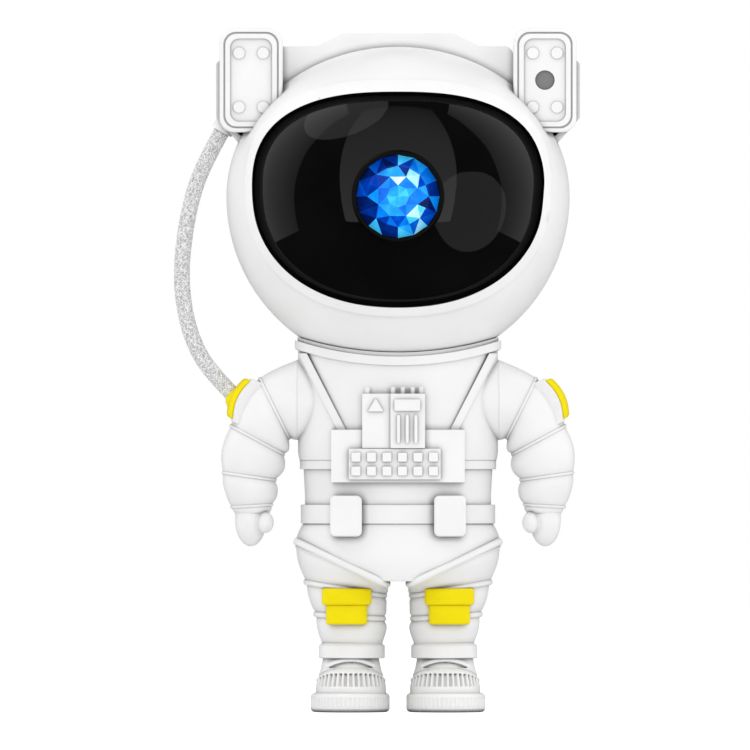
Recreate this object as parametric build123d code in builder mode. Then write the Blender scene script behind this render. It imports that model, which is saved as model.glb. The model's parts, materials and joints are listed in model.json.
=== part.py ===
"""Astronaut-figure star and nebula projector, an assembly of separate pieces.

Frame: millimetres, +Z up, the figure looks along -Y, the floor is Z = 0 and the neck axis is the Z axis.
"Left" is the -X side, as seen by someone who faces the figure.
"""

import os
from math import atan2, cos, degrees, pi, radians, sin, sqrt, tan

from build123d import *

os.makedirs("parts", exist_ok=True)

# ---------------------------------------------------------------------------------------------------------
# Driving dimensions
# ---------------------------------------------------------------------------------------------------------

# Clearances
shell_gap = 0.3  # between curved faces of two bodies that move past each other
running_gap = 0.06  # radial clearance of a shaft in its hole
button_gap = 0.25  # around a push button

# Helmet: a sphere below its widest line and a flatter dome above it
helmet_radius = 57.2
helmet_centre_z = 171.7
helmet_dome_height = 50.0
helmet_wall = 2.4
head_reach = 58.7  # how far the lens ring and the rear buttons stand from the neck axis

# Visor opening, a superellipse seen from the front, and what fills it
visor_half_width = 49.2
visor_centre_z = 174.0
visor_up = 32.7
visor_down = 39.0
visor_up_power = 2.6
visor_outline_points = 24
visor_prism_back_y = 15.0
visor_down_power = 2.2
visor_thickness = 2.2
visor_recess = 0.8
gasket_width = 2.2
gasket_proud = 0.3
bezel_proud = 1.5
bezel_side = 1.9
bezel_top = 3.8
bezel_bottom = 3.3
bezel_lip = 0.9

# Projection lens, a faceted crystal, and its black ring
lens_centre_z = 171.5
crystal_radius = 13.8
crystal_table_radius = 7.4
crystal_crown = 3.4
crystal_girdle = 1.6
crystal_pavilion = 7.0
crystal_setback = 1.2
crystal_main_facets = 8
crystal_girdle_facet_drop = 0.5
crystal_girdle_facet_lean = 9.0
crystal_star_facet_drop = 0.25
crystal_star_facet_lean = 13.0
lens_ring_wall = 1.6
lens_ring_depth = 9.0
lens_ring_lip = 0.8
lens_ring_chamfer = 0.6

# Optical frame, a bulkhead with the lens barrel, and what it carries
frame_y = -14.0
frame_thickness = 2.5
frame_shell_gap = 0.3
barrel_wall = 1.6
disc_thickness = 2.0
disc_axis_drop = 14.5
light_stop_radius = 10.0
disc_frame_gap = 1.0
disc_hub_radius = 4.0
disc_hub_length = 3.0
axle_radius = 1.5
axle_head_radius = 2.6
axle_head_height = 0.8
gear_module = 0.8
disc_teeth = 66
pinion_teeth = 15
tooth_share = 0.42
tooth_root_width = 1.5
tooth_tip_width = 0.55
tooth_height = 0.75
tooth_depth = 1.0
pinion_width = 2.6
motor_radius = 7.5
motor_length = 13.0
motor_shaft_radius = 1.0
frame_window_radius = 7.0
frame_window_x = 24.0
frame_window_drop = 36.0
motor_corner = 0.6

# Light engine behind the disc
led_board_width = 44.0
led_board_bottom = 157.0
led_board_height = 37.0
led_board_thickness = 1.6
led_board_y = -1.0
led_size = 7.0
led_height = 1.6
led_post_spacing = 38.0
led_post_radius = 2.2
heat_sink_width = 34.0
heat_sink_height = 28.0
heat_sink_base = 2.4
heat_sink_depth = 12.0
heat_sink_fins = 7
heat_sink_fin = 1.4
board_corner = 2.0

# Rear of the head: control board, buttons, sensor window and power inlet
board_y = 38.0
board_thickness = 1.6
board_width = 44.0
board_bottom = 147.0
board_height = 46.0
board_post_radius = 2.2
board_post_inset = 4.0
switch_size = 6.0
switch_height = 3.6
button_spacing = 24.0
button_z = 180.0
button_radius = 5.0
ring_icon_radius = 2.75
ring_icon_hole_radius = 2.0
dot_icon_radius = 1.0
star_icon_radius = 3.1
star_icon_notch_radius = 1.3
star_icon_points = 5
button_travel = 0.6
button_stem_radius = 1.8
button_flange_radius = 6.4
button_flange_thickness = 1.2
button_flange_y = 48.5
button_well_radius = 7.4
button_well_depth = 0.9
button_icon_height = 0.25
button_stem_gap = 0.2
button_edge = 1.0
sensor_z = 193.0
sensor_radius = 3.0
inlet_z = 153.0
inlet_width = 9.0
inlet_height = 3.4
inlet_wall = 0.7
inlet_depth = 7.0
inlet_well_margin = 4.0
inlet_tongue_width = 6.4
inlet_tongue_height = 0.7

# Screws that close the helmet
head_screw_high_x = 14.0
head_screw_high_rise = 39.8
head_screw_low_x = 43.0
head_screw_low_drop = 27.5
head_screw_radius = 1.3
head_screw_head_radius = 2.6
head_screw_head_height = 1.8
head_screw_seat_y = 19.0
head_screw_bite = 5.0
head_post_radius = 3.8
screw_slot_width = 0.7

# Ear pods beside the helmet
ear_centre_x = 48.9
ear_centre_z = 210.45
ear_width = 21.0
ear_height = 34.7
ear_corner = 4.8
ear_corner_follow = 0.5
ear_front_y = -16.0
ear_cover_depth = 10.0
ear_wall = 1.6
ear_groove_inset = 1.3
ear_groove_width = 0.6
ear_groove_depth = 0.5
ear_panel_inset = 3.5
ear_panel_depth = 0.7
ear_rivet_radius = 1.9
ear_rivet_height = 0.5
ear_rivet_spacing_x = 8.0
ear_rivet_spacing_z = 18.0
laser_hole_radius = 3.25
ear_dimple_radius = 2.8
ear_dimple_depth = 0.5
ear_edge = 0.8
ear_housing_depth = 20.0
ear_housing_reach = 60.6
ear_housing_top_z = 221.9
ear_housing_shoulder_z = 216.0
ear_housing_chamfer_z = 198.0
ear_housing_bottom_z = 190.0
ear_housing_bottom_x = 53.5
ear_housing_wall = 2.0
ear_housing_slant_follow = 1.4
laser_module_radius = 3.9
laser_module_length = 20.0
laser_window_thickness = 1.0
laser_cradle_length = 6.0

# Band over the helmet between the ear pods
band_front_y = 1.0
band_depth = 13.0
band_crown_z = 226.2
band_crown_half_width = 18.4
band_shoulder_half_width = 27.0
band_corner = 3.0

# Neck: a swivel cup with a magnet, under the helmet
swivel_radius = 16.0
swivel_base_z = 109.6
spindle_radius = 4.0
clip_radius = 6.5
clip_thickness = 1.4
neck_magnet_radius = 10.0
neck_magnet_bore = 5.5
neck_magnet_thickness = 2.6
head_magnet_radius = 10.0
head_magnet_top = 3.4
neck_plate_thickness = 2.6
neck_plate_inset = 0.3

# Torso and hips: outlines turned about Z, then made shallower front to back
torso_half_width = 33.3
torso_depth_ratio = 0.74
torso_wall = 1.8
torso_top_z = 120.0
torso_straight_z = 86.5
chest_hem_z = 84.0
chest_hem_half_width = 32.9
abdomen_half_width = 31.6
waist_half_width = 31.0
waist_z = 72.0
torso_bottom_z = 64.0
collar_half_width = 34.4
collar_lip_half_width = 33.5
collar_band_height = 2.8
collar_lip_height = 1.7
waist_ring_z = 80.9
waist_ring_height = 2.8
waist_ring_half_width = 32.7
band_edge = 0.3
belt_bottom_z = 62.8
belt_height = 6.3
belt_half_width = 32.4
pouch_x = 17.3
pouch_width = 10.6
pouch_bottom_z = 58.6
pouch_height = 13.6
pouch_front_y = -28.4
pouch_corner = 1.7
pouch_edge = 0.8
hip_top_half_width = 31.6
hip_half_width = 34.4
hip_widest_z = 56.0
hip_foot_half_width = 31.6
hip_foot_z = 41.5
hip_wall = 2.0
thigh_outer_x = 34.8
thigh_end_inset = 0.4
thigh_half_depth = 20.5
thigh_outer_z = 57.2
thigh_inner_x = 3.0
thigh_inner_z = 42.5
thigh_rib_proud = 0.9
crotch_wall_z = 50.0
crotch_radius = 1.0

# Chest unit
chest_back_y = -12.0
chest_plate_x = 22.2
chest_plate_bottom_z = 76.6
chest_plate_top_z = 94.1
chest_plate_front_y = -26.8
chest_tower_left = -11.9
chest_tower_right = 9.0
chest_tower_bottom_z = 88.0
chest_tower_top_z = 106.1
chest_tower_front_y = -27.8
chest_meter_left = -2.5
chest_meter_front_y = -28.8
chest_slot_pitch = 2.9
chest_slot_width = 1.6
chest_slot_count = 3
chest_slot_bottom_z = 89.6
chest_slot_top_z = 99.1
chest_screen_x = 3.1
chest_screen_z = 102.3
chest_screen_width = 8.6
chest_screen_height = 3.8
chest_triangle_x = -7.4
chest_triangle_z = 100.2
chest_triangle_width = 5.3
chest_triangle_height = 4.4
chest_relief = 0.8
chest_peg_places = [-10.2, -1.6, 1.6, 4.9, 7.6]
chest_peg_y = -26.4
chest_peg_radius = 0.8
chest_peg_root = 2.0
chest_peg_height = 2.2
chest_key_plate_left = -16.4
chest_key_plate_right = 14.2
chest_key_plate_bottom_z = 77.6
chest_key_plate_top_z = 87.8
chest_key_plate_front_y = -28.2
chest_key_size = 3.3
chest_key_pitch_x = 5.15
chest_key_pitch_z = 4.6
chest_key_height = 0.9
chest_key_corner = 0.5
chest_key_taper = 12
chest_key_columns = 6
chest_key_rows = 2
strap_width = 2.8
strap_proud = 0.9
strap_top_x = 31.8
strap_top_z = 119.5
strap_bottom_x = 18.2
strap_bottom_z = 93.0

# Backpack
pack_half_width = 21.0
pack_bottom_z = 71.0
pack_top_z = 112.0
pack_rear_y = 41.0
pack_corner = 5.0
pack_wall = 1.8
pack_cover_inset = 4.0
pack_cover_thickness = 1.6
pack_cover_proud = 0.8
pack_edge = 2.0
pack_cover_edge = 0.5

# Shoulder joints and arms
shoulder_z = 104.0
shoulder_x = 33.9
shoulder_radius = 13.3
shoulder_half_depth = 13.4
shoulder_boss_reach = 33.6
arm_wall = 2.0
elbow_section = 3  # counted from the shoulder's section, which is 0
pin_radius = 3.2
pin_flange_radius = 6.0
pin_flange_thickness = 1.6
pin_flange_sink = 1.2
pin_head_radius = 5.0
pin_head_thickness = 1.4
ball_x = 53.2
ball_radius = 3.9
ball_gap = 0.4
ball_neck_radius = 2.4
ball_pocket_rise = 0.8
ball_pocket_depth = 0.8
hand_x = 48.2
hand_z = 62.0
hand_half_width = 5.8
hand_half_depth = 7.6
hand_half_height = 7.1
thumb_radius = 2.7
thumb_stretch = 1.5
thumb_x = 44.6
thumb_y = -4.6
thumb_z = 63.0
patch_half_depth = 8.2
patch_bottom_z = 97.6
patch_top_z = 111.6
patch_base_thickness = 1.6
patch_thickness = 2.8
patch_step_inset = 1.0
patch_corner = 1.8
patch_hole_radius = 6.0

# Legs
leg_wall = 2.2
leg_rib_width = 2.8
leg_rib_proud = 1.2
leg_rib_edge = 0.8
knee_pad_x = 17.2
knee_upper_width = 16.6
knee_lower_width = 14.0
knee_bottom_z = 29.0
knee_middle_z = 35.5
knee_top_z = 41.2
knee_upper_front_y = -18.4
knee_lower_front_y = -17.2
knee_back_y = -6.0
knee_pad_edge = 1.0

# Ankles, boots and soles
cuff_x = 15.4
cuff_half_width = 11.0
cuff_half_depth = 12.4
cuff_bottom_z = 17.9
cuff_top_z = 23.0
cuff_edge = 1.4
boot_x = 15.6
boot_wall = 2.2
boot_centre_y = -3.0
boot_top_half_width = 9.4
boot_top_half_depth = 10.6
boot_instep_z = 13.3
boot_instep_half_width = 10.8
boot_instep_half_depth = 14.6
boot_toe_z = 9.0
boot_toe_half_width = 11.7
boot_toe_half_depth = 18.0
boot_groove_count = 13
boot_groove_pitch = 1.55
boot_groove_width = 0.5
boot_groove_bottom_z = 8.4
boot_groove_top_z = 12.6
boot_groove_depth = 0.4
boot_toe_lean = 0.4
sole_x = 15.95
sole_half_width = 13.15
sole_half_depth = 20.0
sole_height = 6.4
sole_rib_count = 48
sole_rib_radius = 0.45
sole_rib_bottom_z = 1.0
sole_rib_height = 3.6
sole_edge = 1.0
weight_radius = 7.6
weight_height = 9.0

# Body screws
body_screw_radius = 1.2
body_screw_head_radius = 2.4
body_screw_head_height = 1.6
body_screw_x = 25.0
body_screw_low_z = 75.0
body_screw_high_z = 93.0
body_post_radius = 3.2
body_screw_seat_y = 9.0
body_screw_bite = 8.0

# Breathing hose
hose_diameter = 5.4
hose_bore = 3.4
hose_socket_wall = 0.9
hose_socket_plug = 2.6
hose_socket_reach = 1.8
hose_bend_share = 0.45
hose_split = 0.45  # where the upper run hands over to the lower one, between the third and fourth places
hose_route = [
    (-57.9, 4.0, 195.0),
    (-64.4, 4.6, 183.5),
    (-69.2, 5.4, 170.5),
    (-72.5, 5.6, 150.0),
    (-71.4, 4.8, 133.5),
    (-67.2, 3.2, 120.5),
    (-61.0, 1.4, 111.7),
]

# ---------------------------------------------------------------------------------------------------------
# Worked-out places
# ---------------------------------------------------------------------------------------------------------

frame_back_y = frame_y + frame_thickness
disc_axis_z = lens_centre_z - disc_axis_drop
disc_y = frame_back_y + disc_frame_gap
disc_pitch_radius = gear_module * disc_teeth / 2
pinion_pitch_radius = gear_module * pinion_teeth / 2
pinion_x = disc_pitch_radius + pinion_pitch_radius
crystal_front_y = -head_reach + crystal_setback
lens_ring_radius = crystal_radius + lens_ring_wall
board_back_y = board_y + board_thickness
switch_top_y = board_back_y + switch_height
neck_plate_top_z = swivel_base_z - neck_plate_inset
torso_inner_half_width = torso_half_width - torso_wall
shoulder_plane = Plane(origin=(0, 0, shoulder_z), x_dir=(0, 1, 0), z_dir=(1, 0, 0))
pin_flange_x = torso_inner_half_width - pin_flange_thickness - pin_flange_sink


def helmet_depth(x, z, grow=0.0):
    """How far the helmet's outer face stands from the plane Y = 0 at a place (x, z) of its front view."""
    height = helmet_dome_height if z > helmet_centre_z else helmet_radius
    rise = (z - helmet_centre_z) / (height + grow)
    return sqrt((helmet_radius + grow) ** 2 * (1 - rise**2) - x**2)


def front_plane(x, z, y=0.0):
    """A plane that faces the viewer in front of the figure, with its origin at a place."""
    return Plane(origin=(x, y, z), x_dir=(1, 0, 0), z_dir=(0, -1, 0))


def save(piece, label):
    """Label a finished piece and write its file."""
    piece.label = label
    export_step(piece, f"parts/{label}.step")


# ---------------------------------------------------------------------------------------------------------
# Shared forms
# ---------------------------------------------------------------------------------------------------------


def helmet_form(grow):
    """The helmet's outer form, grown evenly by a distance."""
    with BuildPart() as form:
        with BuildSketch(Plane.XZ):
            with BuildLine():
                radius = helmet_radius + grow
                top = helmet_dome_height + grow
                CenterArc((0, helmet_centre_z), radius, -90, 90)
                EllipticalCenterArc((0, helmet_centre_z), radius, top, start_angle=0, arc_size=90)
                Line((0, helmet_centre_z + top), (0, helmet_centre_z - radius))
            make_face()
        revolve(axis=Axis.Z)
    return form.part


def visor_prism(side, up, down):
    """A bar along -Y with the visor's outline, grown by side, up and down."""
    half_width = visor_half_width + side
    points = []
    for step in range(visor_outline_points):
        angle = 2 * pi * step / visor_outline_points
        power = visor_up_power if sin(angle) > 0 else visor_down_power
        height = visor_up + up if sin(angle) > 0 else visor_down + down
        across = abs(cos(angle)) ** (2 / power) * half_width
        rise = abs(sin(angle)) ** (2 / power) * height
        points.append(
            (
                across if cos(angle) > 0 else -across,
                visor_centre_z + (rise if sin(angle) > 0 else -rise),
            )
        )
    with BuildPart() as prism:
        with BuildSketch(Plane.XZ.offset(visor_prism_back_y)):
            with BuildLine():
                Spline(*points, periodic=True)
            make_face()
        extrude(amount=head_reach)
    return prism.part


def torso_form(grow):
    """The torso from collar to belt, grown by a distance."""
    with BuildPart() as form:
        with BuildSketch(Plane.XZ):
            with BuildLine():
                widest = torso_half_width + grow
                waist = waist_half_width + grow
                Polyline((waist, torso_bottom_z - 1), (0, torso_bottom_z - 1), (0, torso_top_z + 6))
                Polyline((0, torso_top_z + 6), (widest, torso_top_z + 6), (widest, torso_straight_z))
                Polyline(
                    (widest, torso_straight_z),
                    (chest_hem_half_width + grow, chest_hem_z),
                    (abdomen_half_width + grow, chest_hem_z),
                    (waist, waist_z),
                    (waist, torso_bottom_z - 1),
                )
            make_face()
        revolve(axis=Axis.Z)
        scale(by=(1, torso_depth_ratio, 1))
    return form.part


def hip_form(shrink):
    """The hips under the belt, drawn in by a distance."""
    with BuildPart() as form:
        with BuildSketch(Plane.XZ):
            with BuildLine():
                top = hip_top_half_width - shrink
                widest = hip_half_width - shrink
                foot = hip_foot_half_width - shrink
                Polyline((top, belt_bottom_z), (0, belt_bottom_z), (0, hip_foot_z), (foot, hip_foot_z))
                Spline(
                    (foot, hip_foot_z),
                    (widest, hip_widest_z),
                    (top, belt_bottom_z),
                )
            make_face()
        revolve(axis=Axis.Z)
        scale(by=(1, torso_depth_ratio, 1))
    return form.part


def mirrored(piece):
    """The same piece on the other side of the figure."""
    return mirror(piece, about=Plane.YZ, mode=Mode.PRIVATE)


helmet_outside = helmet_form(0)
helmet_inside = helmet_form(-helmet_wall)
helmet_seat = helmet_form(shell_gap)

# ---------------------------------------------------------------------------------------------------------
# Helmet shells
# ---------------------------------------------------------------------------------------------------------

head_screw_places = [
    (side * across, helmet_centre_z + rise)
    for side in (-1, 1)
    for across, rise in ((head_screw_high_x, head_screw_high_rise), (head_screw_low_x, -head_screw_low_drop))
]
button_places = [(side * button_spacing / 2, button_z) for side in (-1, 1)]
board_top = board_bottom + board_height
board_post_places = [
    (side * (board_width / 2 - board_post_inset), level)
    for side in (-1, 1)
    for level in (board_bottom + board_post_inset, board_top - board_post_inset)
]
button_well_floor_y = helmet_depth(button_spacing / 2, button_z) - button_well_depth
inlet_mouth_y = helmet_depth(0, inlet_z) - button_well_depth
shell_opening = visor_prism(bezel_lip, bezel_lip, bezel_lip)

with BuildPart() as helmet_front_shell:
    add(helmet_outside)
    add(helmet_inside, mode=Mode.SUBTRACT)
    split(bisect_by=Plane.XZ, keep=Keep.TOP)
    with BuildSketch(Plane.XZ.offset(-frame_y)):
        with Locations(*head_screw_places):
            Circle(head_post_radius)
    extrude(amount=head_reach)
    add(helmet_outside, mode=Mode.INTERSECT)
    add(shell_opening, mode=Mode.SUBTRACT)
    with BuildSketch(Plane.XZ.offset(-frame_y)):
        with Locations(*head_screw_places):
            Circle(head_screw_radius)
    extrude(amount=head_screw_bite, mode=Mode.SUBTRACT)
save(helmet_front_shell.part, "helmet_front_shell")

with BuildPart() as helmet_rear_shell:
    add(helmet_outside)
    add(helmet_inside, mode=Mode.SUBTRACT)
    split(bisect_by=Plane.XZ, keep=Keep.BOTTOM)
    with BuildSketch(Plane.XZ.offset(-frame_back_y)):
        with Locations(*head_screw_places):
            Circle(head_post_radius)
    extrude(amount=-head_reach)
    with BuildSketch(Plane.XZ.offset(-board_back_y)):
        with Locations(*board_post_places):
            Circle(board_post_radius)
    extrude(amount=-head_reach)
    add(helmet_outside, mode=Mode.INTERSECT)
    add(helmet_front_shell.part, mode=Mode.SUBTRACT)
    with BuildSketch(Plane.XZ.offset(-frame_back_y)):
        with Locations(*head_screw_places):
            Circle(head_screw_radius + running_gap)
    extrude(amount=-head_reach, mode=Mode.SUBTRACT)
    with BuildSketch(Plane.XZ.offset(-head_screw_seat_y)):
        with Locations(*head_screw_places):
            Circle(head_screw_head_radius + shell_gap)
    extrude(amount=-head_reach, mode=Mode.SUBTRACT)
    with BuildSketch(Plane.XZ.offset(-board_back_y)):
        with Locations(*button_places):
            Circle(button_radius + button_gap)
        with Locations((0, sensor_z)):
            Circle(sensor_radius)
        with Locations((0, inlet_z)):
            SlotOverall(inlet_width + 2 * inlet_wall, inlet_height + 2 * inlet_wall)
    extrude(amount=-head_reach, mode=Mode.SUBTRACT)
    with BuildSketch(Plane.XZ.offset(-button_well_floor_y)):
        with Locations(*button_places):
            Circle(button_well_radius)
    extrude(amount=-head_reach, mode=Mode.SUBTRACT)
    with BuildSketch(Plane.XZ.offset(-inlet_mouth_y)):
        with Locations((0, inlet_z)):
            SlotOverall(inlet_width + inlet_well_margin, inlet_height + inlet_well_margin)
    extrude(amount=-head_reach, mode=Mode.SUBTRACT)
save(helmet_rear_shell.part, "helmet_rear_shell")

with BuildPart() as head_screws:
    with BuildSketch(Plane.XZ.offset(-head_screw_seat_y)):
        with Locations(*head_screw_places):
            Circle(head_screw_head_radius)
    extrude(amount=-head_screw_head_height)
    with BuildSketch(Plane.XZ.offset(-head_screw_seat_y)):
        with Locations(*head_screw_places):
            Circle(head_screw_radius)
    extrude(amount=head_screw_seat_y - frame_y + head_screw_bite - shell_gap)
    with BuildSketch(Plane.XZ.offset(-head_screw_seat_y - head_screw_head_height)):
        with Locations(*head_screw_places):
            Rectangle(2 * head_screw_radius, screw_slot_width)
            Rectangle(screw_slot_width, 2 * head_screw_radius)
    extrude(amount=head_screw_head_height / 2, mode=Mode.SUBTRACT)
save(head_screws.part, "head_screws")

# ---------------------------------------------------------------------------------------------------------
# Visor, bezel, gasket and projection lens
# ---------------------------------------------------------------------------------------------------------

bezel_face = helmet_form(bezel_proud)
gasket_face = helmet_form(gasket_proud)
visor_face = helmet_form(-visor_recess)
visor_back = helmet_form(-visor_recess - visor_thickness)
visor_opening = visor_prism(0, 0, 0)
bezel_outline = visor_prism(bezel_side, bezel_top, bezel_bottom)
visor_outline = visor_prism(-gasket_width, -gasket_width, -gasket_width)
lens_plane = front_plane(0, lens_centre_z)

with BuildPart() as visor_bezel_lip:
    add(helmet_outside)
    add(visor_back, mode=Mode.SUBTRACT)
    add(shell_opening, mode=Mode.INTERSECT)
    add(visor_opening, mode=Mode.SUBTRACT)

with BuildPart() as visor_bezel:
    add(bezel_face)
    add(helmet_outside, mode=Mode.SUBTRACT)
    add(bezel_outline, mode=Mode.INTERSECT)
    add(visor_opening, mode=Mode.SUBTRACT)
    add(visor_bezel_lip.part)
save(visor_bezel.part, "visor_bezel")

with BuildPart() as visor_gasket:
    add(gasket_face)
    add(visor_back, mode=Mode.SUBTRACT)
    add(visor_opening, mode=Mode.INTERSECT)
    add(visor_outline, mode=Mode.SUBTRACT)
save(visor_gasket.part, "visor_gasket")

with BuildPart() as visor:
    add(visor_face)
    add(visor_back, mode=Mode.SUBTRACT)
    add(visor_outline, mode=Mode.INTERSECT)
    with BuildSketch(lens_plane):
        Circle(lens_ring_radius)
    extrude(amount=head_reach, mode=Mode.SUBTRACT)
save(visor.part, "visor")


def facet(radius, level, slope, count, phase, front):
    """Planes that cut one row of facets on the crystal: each passes the girdle circle at a level."""
    lean = radians(slope)
    for step in range(count):
        turn = radians(360 / count * step + phase)
        outward = (cos(turn) * sin(lean), -front * cos(lean), sin(turn) * sin(lean))
        touch = (radius * cos(turn), level, lens_centre_z + radius * sin(turn))
        yield Plane(origin=touch, z_dir=outward)


crystal_girdle_y = crystal_front_y + crystal_crown
crown_slope = degrees(atan2(crystal_crown, crystal_radius - crystal_table_radius))
pavilion_slope = degrees(atan2(crystal_pavilion, crystal_radius))
main_facet_turn = 360 / crystal_main_facets

with BuildPart() as projection_lens:
    with BuildSketch(lens_plane.offset(-crystal_front_y)):
        Circle(crystal_radius)
    extrude(amount=-(crystal_crown + crystal_girdle + crystal_pavilion))
    for radius, level, slope, count, phase, front in (
        (crystal_radius, crystal_girdle_y, crown_slope, crystal_main_facets, 0, 1),
        (
            crystal_radius,
            crystal_girdle_y - crystal_girdle_facet_drop,
            crown_slope + crystal_girdle_facet_lean,
            2 * crystal_main_facets,
            main_facet_turn / 4,
            1,
        ),
        (
            crystal_table_radius,
            crystal_front_y + crystal_star_facet_drop,
            crown_slope - crystal_star_facet_lean,
            crystal_main_facets,
            main_facet_turn / 2,
            1,
        ),
        (
            crystal_radius,
            crystal_girdle_y + crystal_girdle / 2,
            pavilion_slope,
            crystal_main_facets,
            main_facet_turn / 2,
            -1,
        ),
    ):
        for plane in facet(radius, level, slope, count, phase, front):
            split(bisect_by=plane, keep=Keep.BOTTOM)
save(projection_lens.part, "projection_lens")

with BuildPart() as lens_ring:
    with BuildSketch(lens_plane.offset(head_reach)):
        Circle(lens_ring_radius)
        Circle(crystal_radius - lens_ring_lip, mode=Mode.SUBTRACT)
    extrude(amount=-lens_ring_depth)
    with BuildSketch(lens_plane.offset(head_reach)):
        Circle(crystal_radius + running_gap)
    extrude(amount=-(crystal_setback + crystal_crown + crystal_girdle), mode=Mode.SUBTRACT)
    chamfer(lens_ring.edges().group_by(Axis.Y)[0].sort_by(SortBy.RADIUS)[-1], lens_ring_chamfer)
save(lens_ring.part, "lens_ring")

# ---------------------------------------------------------------------------------------------------------
# Optical frame, ripple disc, pinion and motor
# ---------------------------------------------------------------------------------------------------------

disc_plane = front_plane(0, disc_axis_z)
pinion_plane = front_plane(pinion_x, disc_axis_z)
barrel_radius = crystal_radius + barrel_wall
barrel_front_y = -head_reach + lens_ring_depth
led_post_z = led_board_bottom + led_board_height - board_post_inset
led_post_places = [(side * led_post_spacing / 2, led_post_z) for side in (-1, 1)]
frame_window_places = [(side * frame_window_x, helmet_centre_z - frame_window_drop) for side in (-1, 1)]
frame_form = helmet_form(-helmet_wall - frame_shell_gap)
hub_back_y = disc_y + disc_hub_length

with BuildPart() as optical_frame:
    add(frame_form)
    split(bisect_by=Plane.XZ.offset(-frame_y), keep=Keep.BOTTOM)
    split(bisect_by=Plane.XZ.offset(-frame_back_y), keep=Keep.TOP)
    with BuildSketch(lens_plane.offset(-frame_y)):
        Circle(barrel_radius)
        Circle(crystal_radius, mode=Mode.SUBTRACT)
    extrude(amount=frame_y - barrel_front_y)
    with BuildSketch(Plane.XZ.offset(-frame_back_y)):
        with Locations((0, lens_centre_z)):
            Circle(light_stop_radius)
        with Locations((pinion_x, disc_axis_z)):
            Circle(motor_shaft_radius * 2)
        with Locations(*head_screw_places):
            Circle(head_screw_radius + running_gap)
        with Locations(*frame_window_places):
            Circle(frame_window_radius)
    extrude(amount=frame_thickness, mode=Mode.SUBTRACT)
    with BuildSketch(Plane.XZ.offset(-frame_back_y)):
        with Locations(*led_post_places):
            Circle(led_post_radius)
    extrude(amount=frame_back_y - led_board_y)
    with BuildSketch(disc_plane.offset(-frame_back_y)):
        Circle(axle_radius)
    extrude(amount=-(hub_back_y - frame_back_y + axle_head_height))
    with BuildSketch(disc_plane.offset(-hub_back_y - running_gap)):
        Circle(axle_head_radius)
    extrude(amount=-axle_head_height)
save(optical_frame.part, "optical_frame")


def gear_teeth(teeth, pitch_radius, first_angle):
    """Draw a gear's outline: a root disc and its straight-flanked teeth."""
    root_radius = pitch_radius - tooth_depth * gear_module
    tip_radius = pitch_radius + tooth_height * gear_module
    half_tooth = pi * gear_module / 2 * tooth_share
    with BuildSketch(mode=Mode.PRIVATE) as tooth:
        with BuildLine():
            Polyline(
                (root_radius - gear_module / 3, -half_tooth * tooth_root_width),
                (tip_radius, -half_tooth * tooth_tip_width),
                (tip_radius, half_tooth * tooth_tip_width),
                (root_radius - gear_module / 3, half_tooth * tooth_root_width),
                close=True,
            )
        make_face()
    Circle(root_radius)
    with PolarLocations(0, teeth, start_angle=first_angle):
        add(tooth.sketch)


with BuildPart() as ripple_disc:
    with BuildSketch(disc_plane.offset(-disc_y)):
        gear_teeth(disc_teeth, disc_pitch_radius, 0)
    extrude(amount=-disc_thickness)
    with BuildSketch(disc_plane.offset(-disc_y)):
        Circle(disc_hub_radius)
    extrude(amount=-disc_hub_length)
    with BuildSketch(disc_plane.offset(-disc_y)):
        Circle(axle_radius + running_gap)
    extrude(amount=-disc_hub_length, mode=Mode.SUBTRACT)
save(ripple_disc.part, "ripple_disc")

pinion_front_y = disc_y - (pinion_width - disc_thickness) / 2

with BuildPart() as motor_pinion:
    with BuildSketch(pinion_plane.offset(-pinion_front_y)):
        gear_teeth(pinion_teeth, pinion_pitch_radius, 180 + 180 / pinion_teeth)
    extrude(amount=-pinion_width)
    with BuildSketch(pinion_plane.offset(-pinion_front_y)):
        Circle(motor_shaft_radius)
    extrude(amount=pinion_front_y - frame_y + motor_length / 2)
save(motor_pinion.part, "motor_pinion")

with BuildPart() as ripple_motor:
    with BuildSketch(pinion_plane.offset(-frame_y)):
        Circle(motor_radius)
    extrude(amount=motor_length)
    with BuildSketch(pinion_plane.offset(-frame_y)):
        Circle(motor_shaft_radius + running_gap)
    extrude(amount=motor_length / 2 + shell_gap, mode=Mode.SUBTRACT)
    fillet(ripple_motor.edges().group_by(Axis.Y)[0], motor_corner)
save(ripple_motor.part, "ripple_motor")

# ---------------------------------------------------------------------------------------------------------
# Light engine and control board
# ---------------------------------------------------------------------------------------------------------

led_board_back_y = led_board_y + led_board_thickness
led_board_centre_z = led_board_bottom + led_board_height / 2

with BuildPart() as led_board:
    with BuildSketch(front_plane(0, led_board_centre_z, led_board_y)):
        RectangleRounded(led_board_width, led_board_height, board_corner)
    extrude(amount=-led_board_thickness)
    with BuildSketch(front_plane(0, lens_centre_z, led_board_y)):
        Rectangle(led_size, led_size)
    extrude(amount=led_height)
save(led_board.part, "led_board")

with BuildPart() as heat_sink:
    with BuildSketch(front_plane(0, lens_centre_z, led_board_back_y)):
        Rectangle(heat_sink_width, heat_sink_height)
    extrude(amount=-heat_sink_base)
    fin_pitch = (heat_sink_width - heat_sink_fin) / (heat_sink_fins - 1)
    with BuildSketch(front_plane(0, lens_centre_z, led_board_back_y)):
        with GridLocations(fin_pitch, 0, heat_sink_fins, 1):
            Rectangle(heat_sink_fin, heat_sink_height)
    extrude(amount=-heat_sink_depth)
save(heat_sink.part, "heat_sink")

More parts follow.
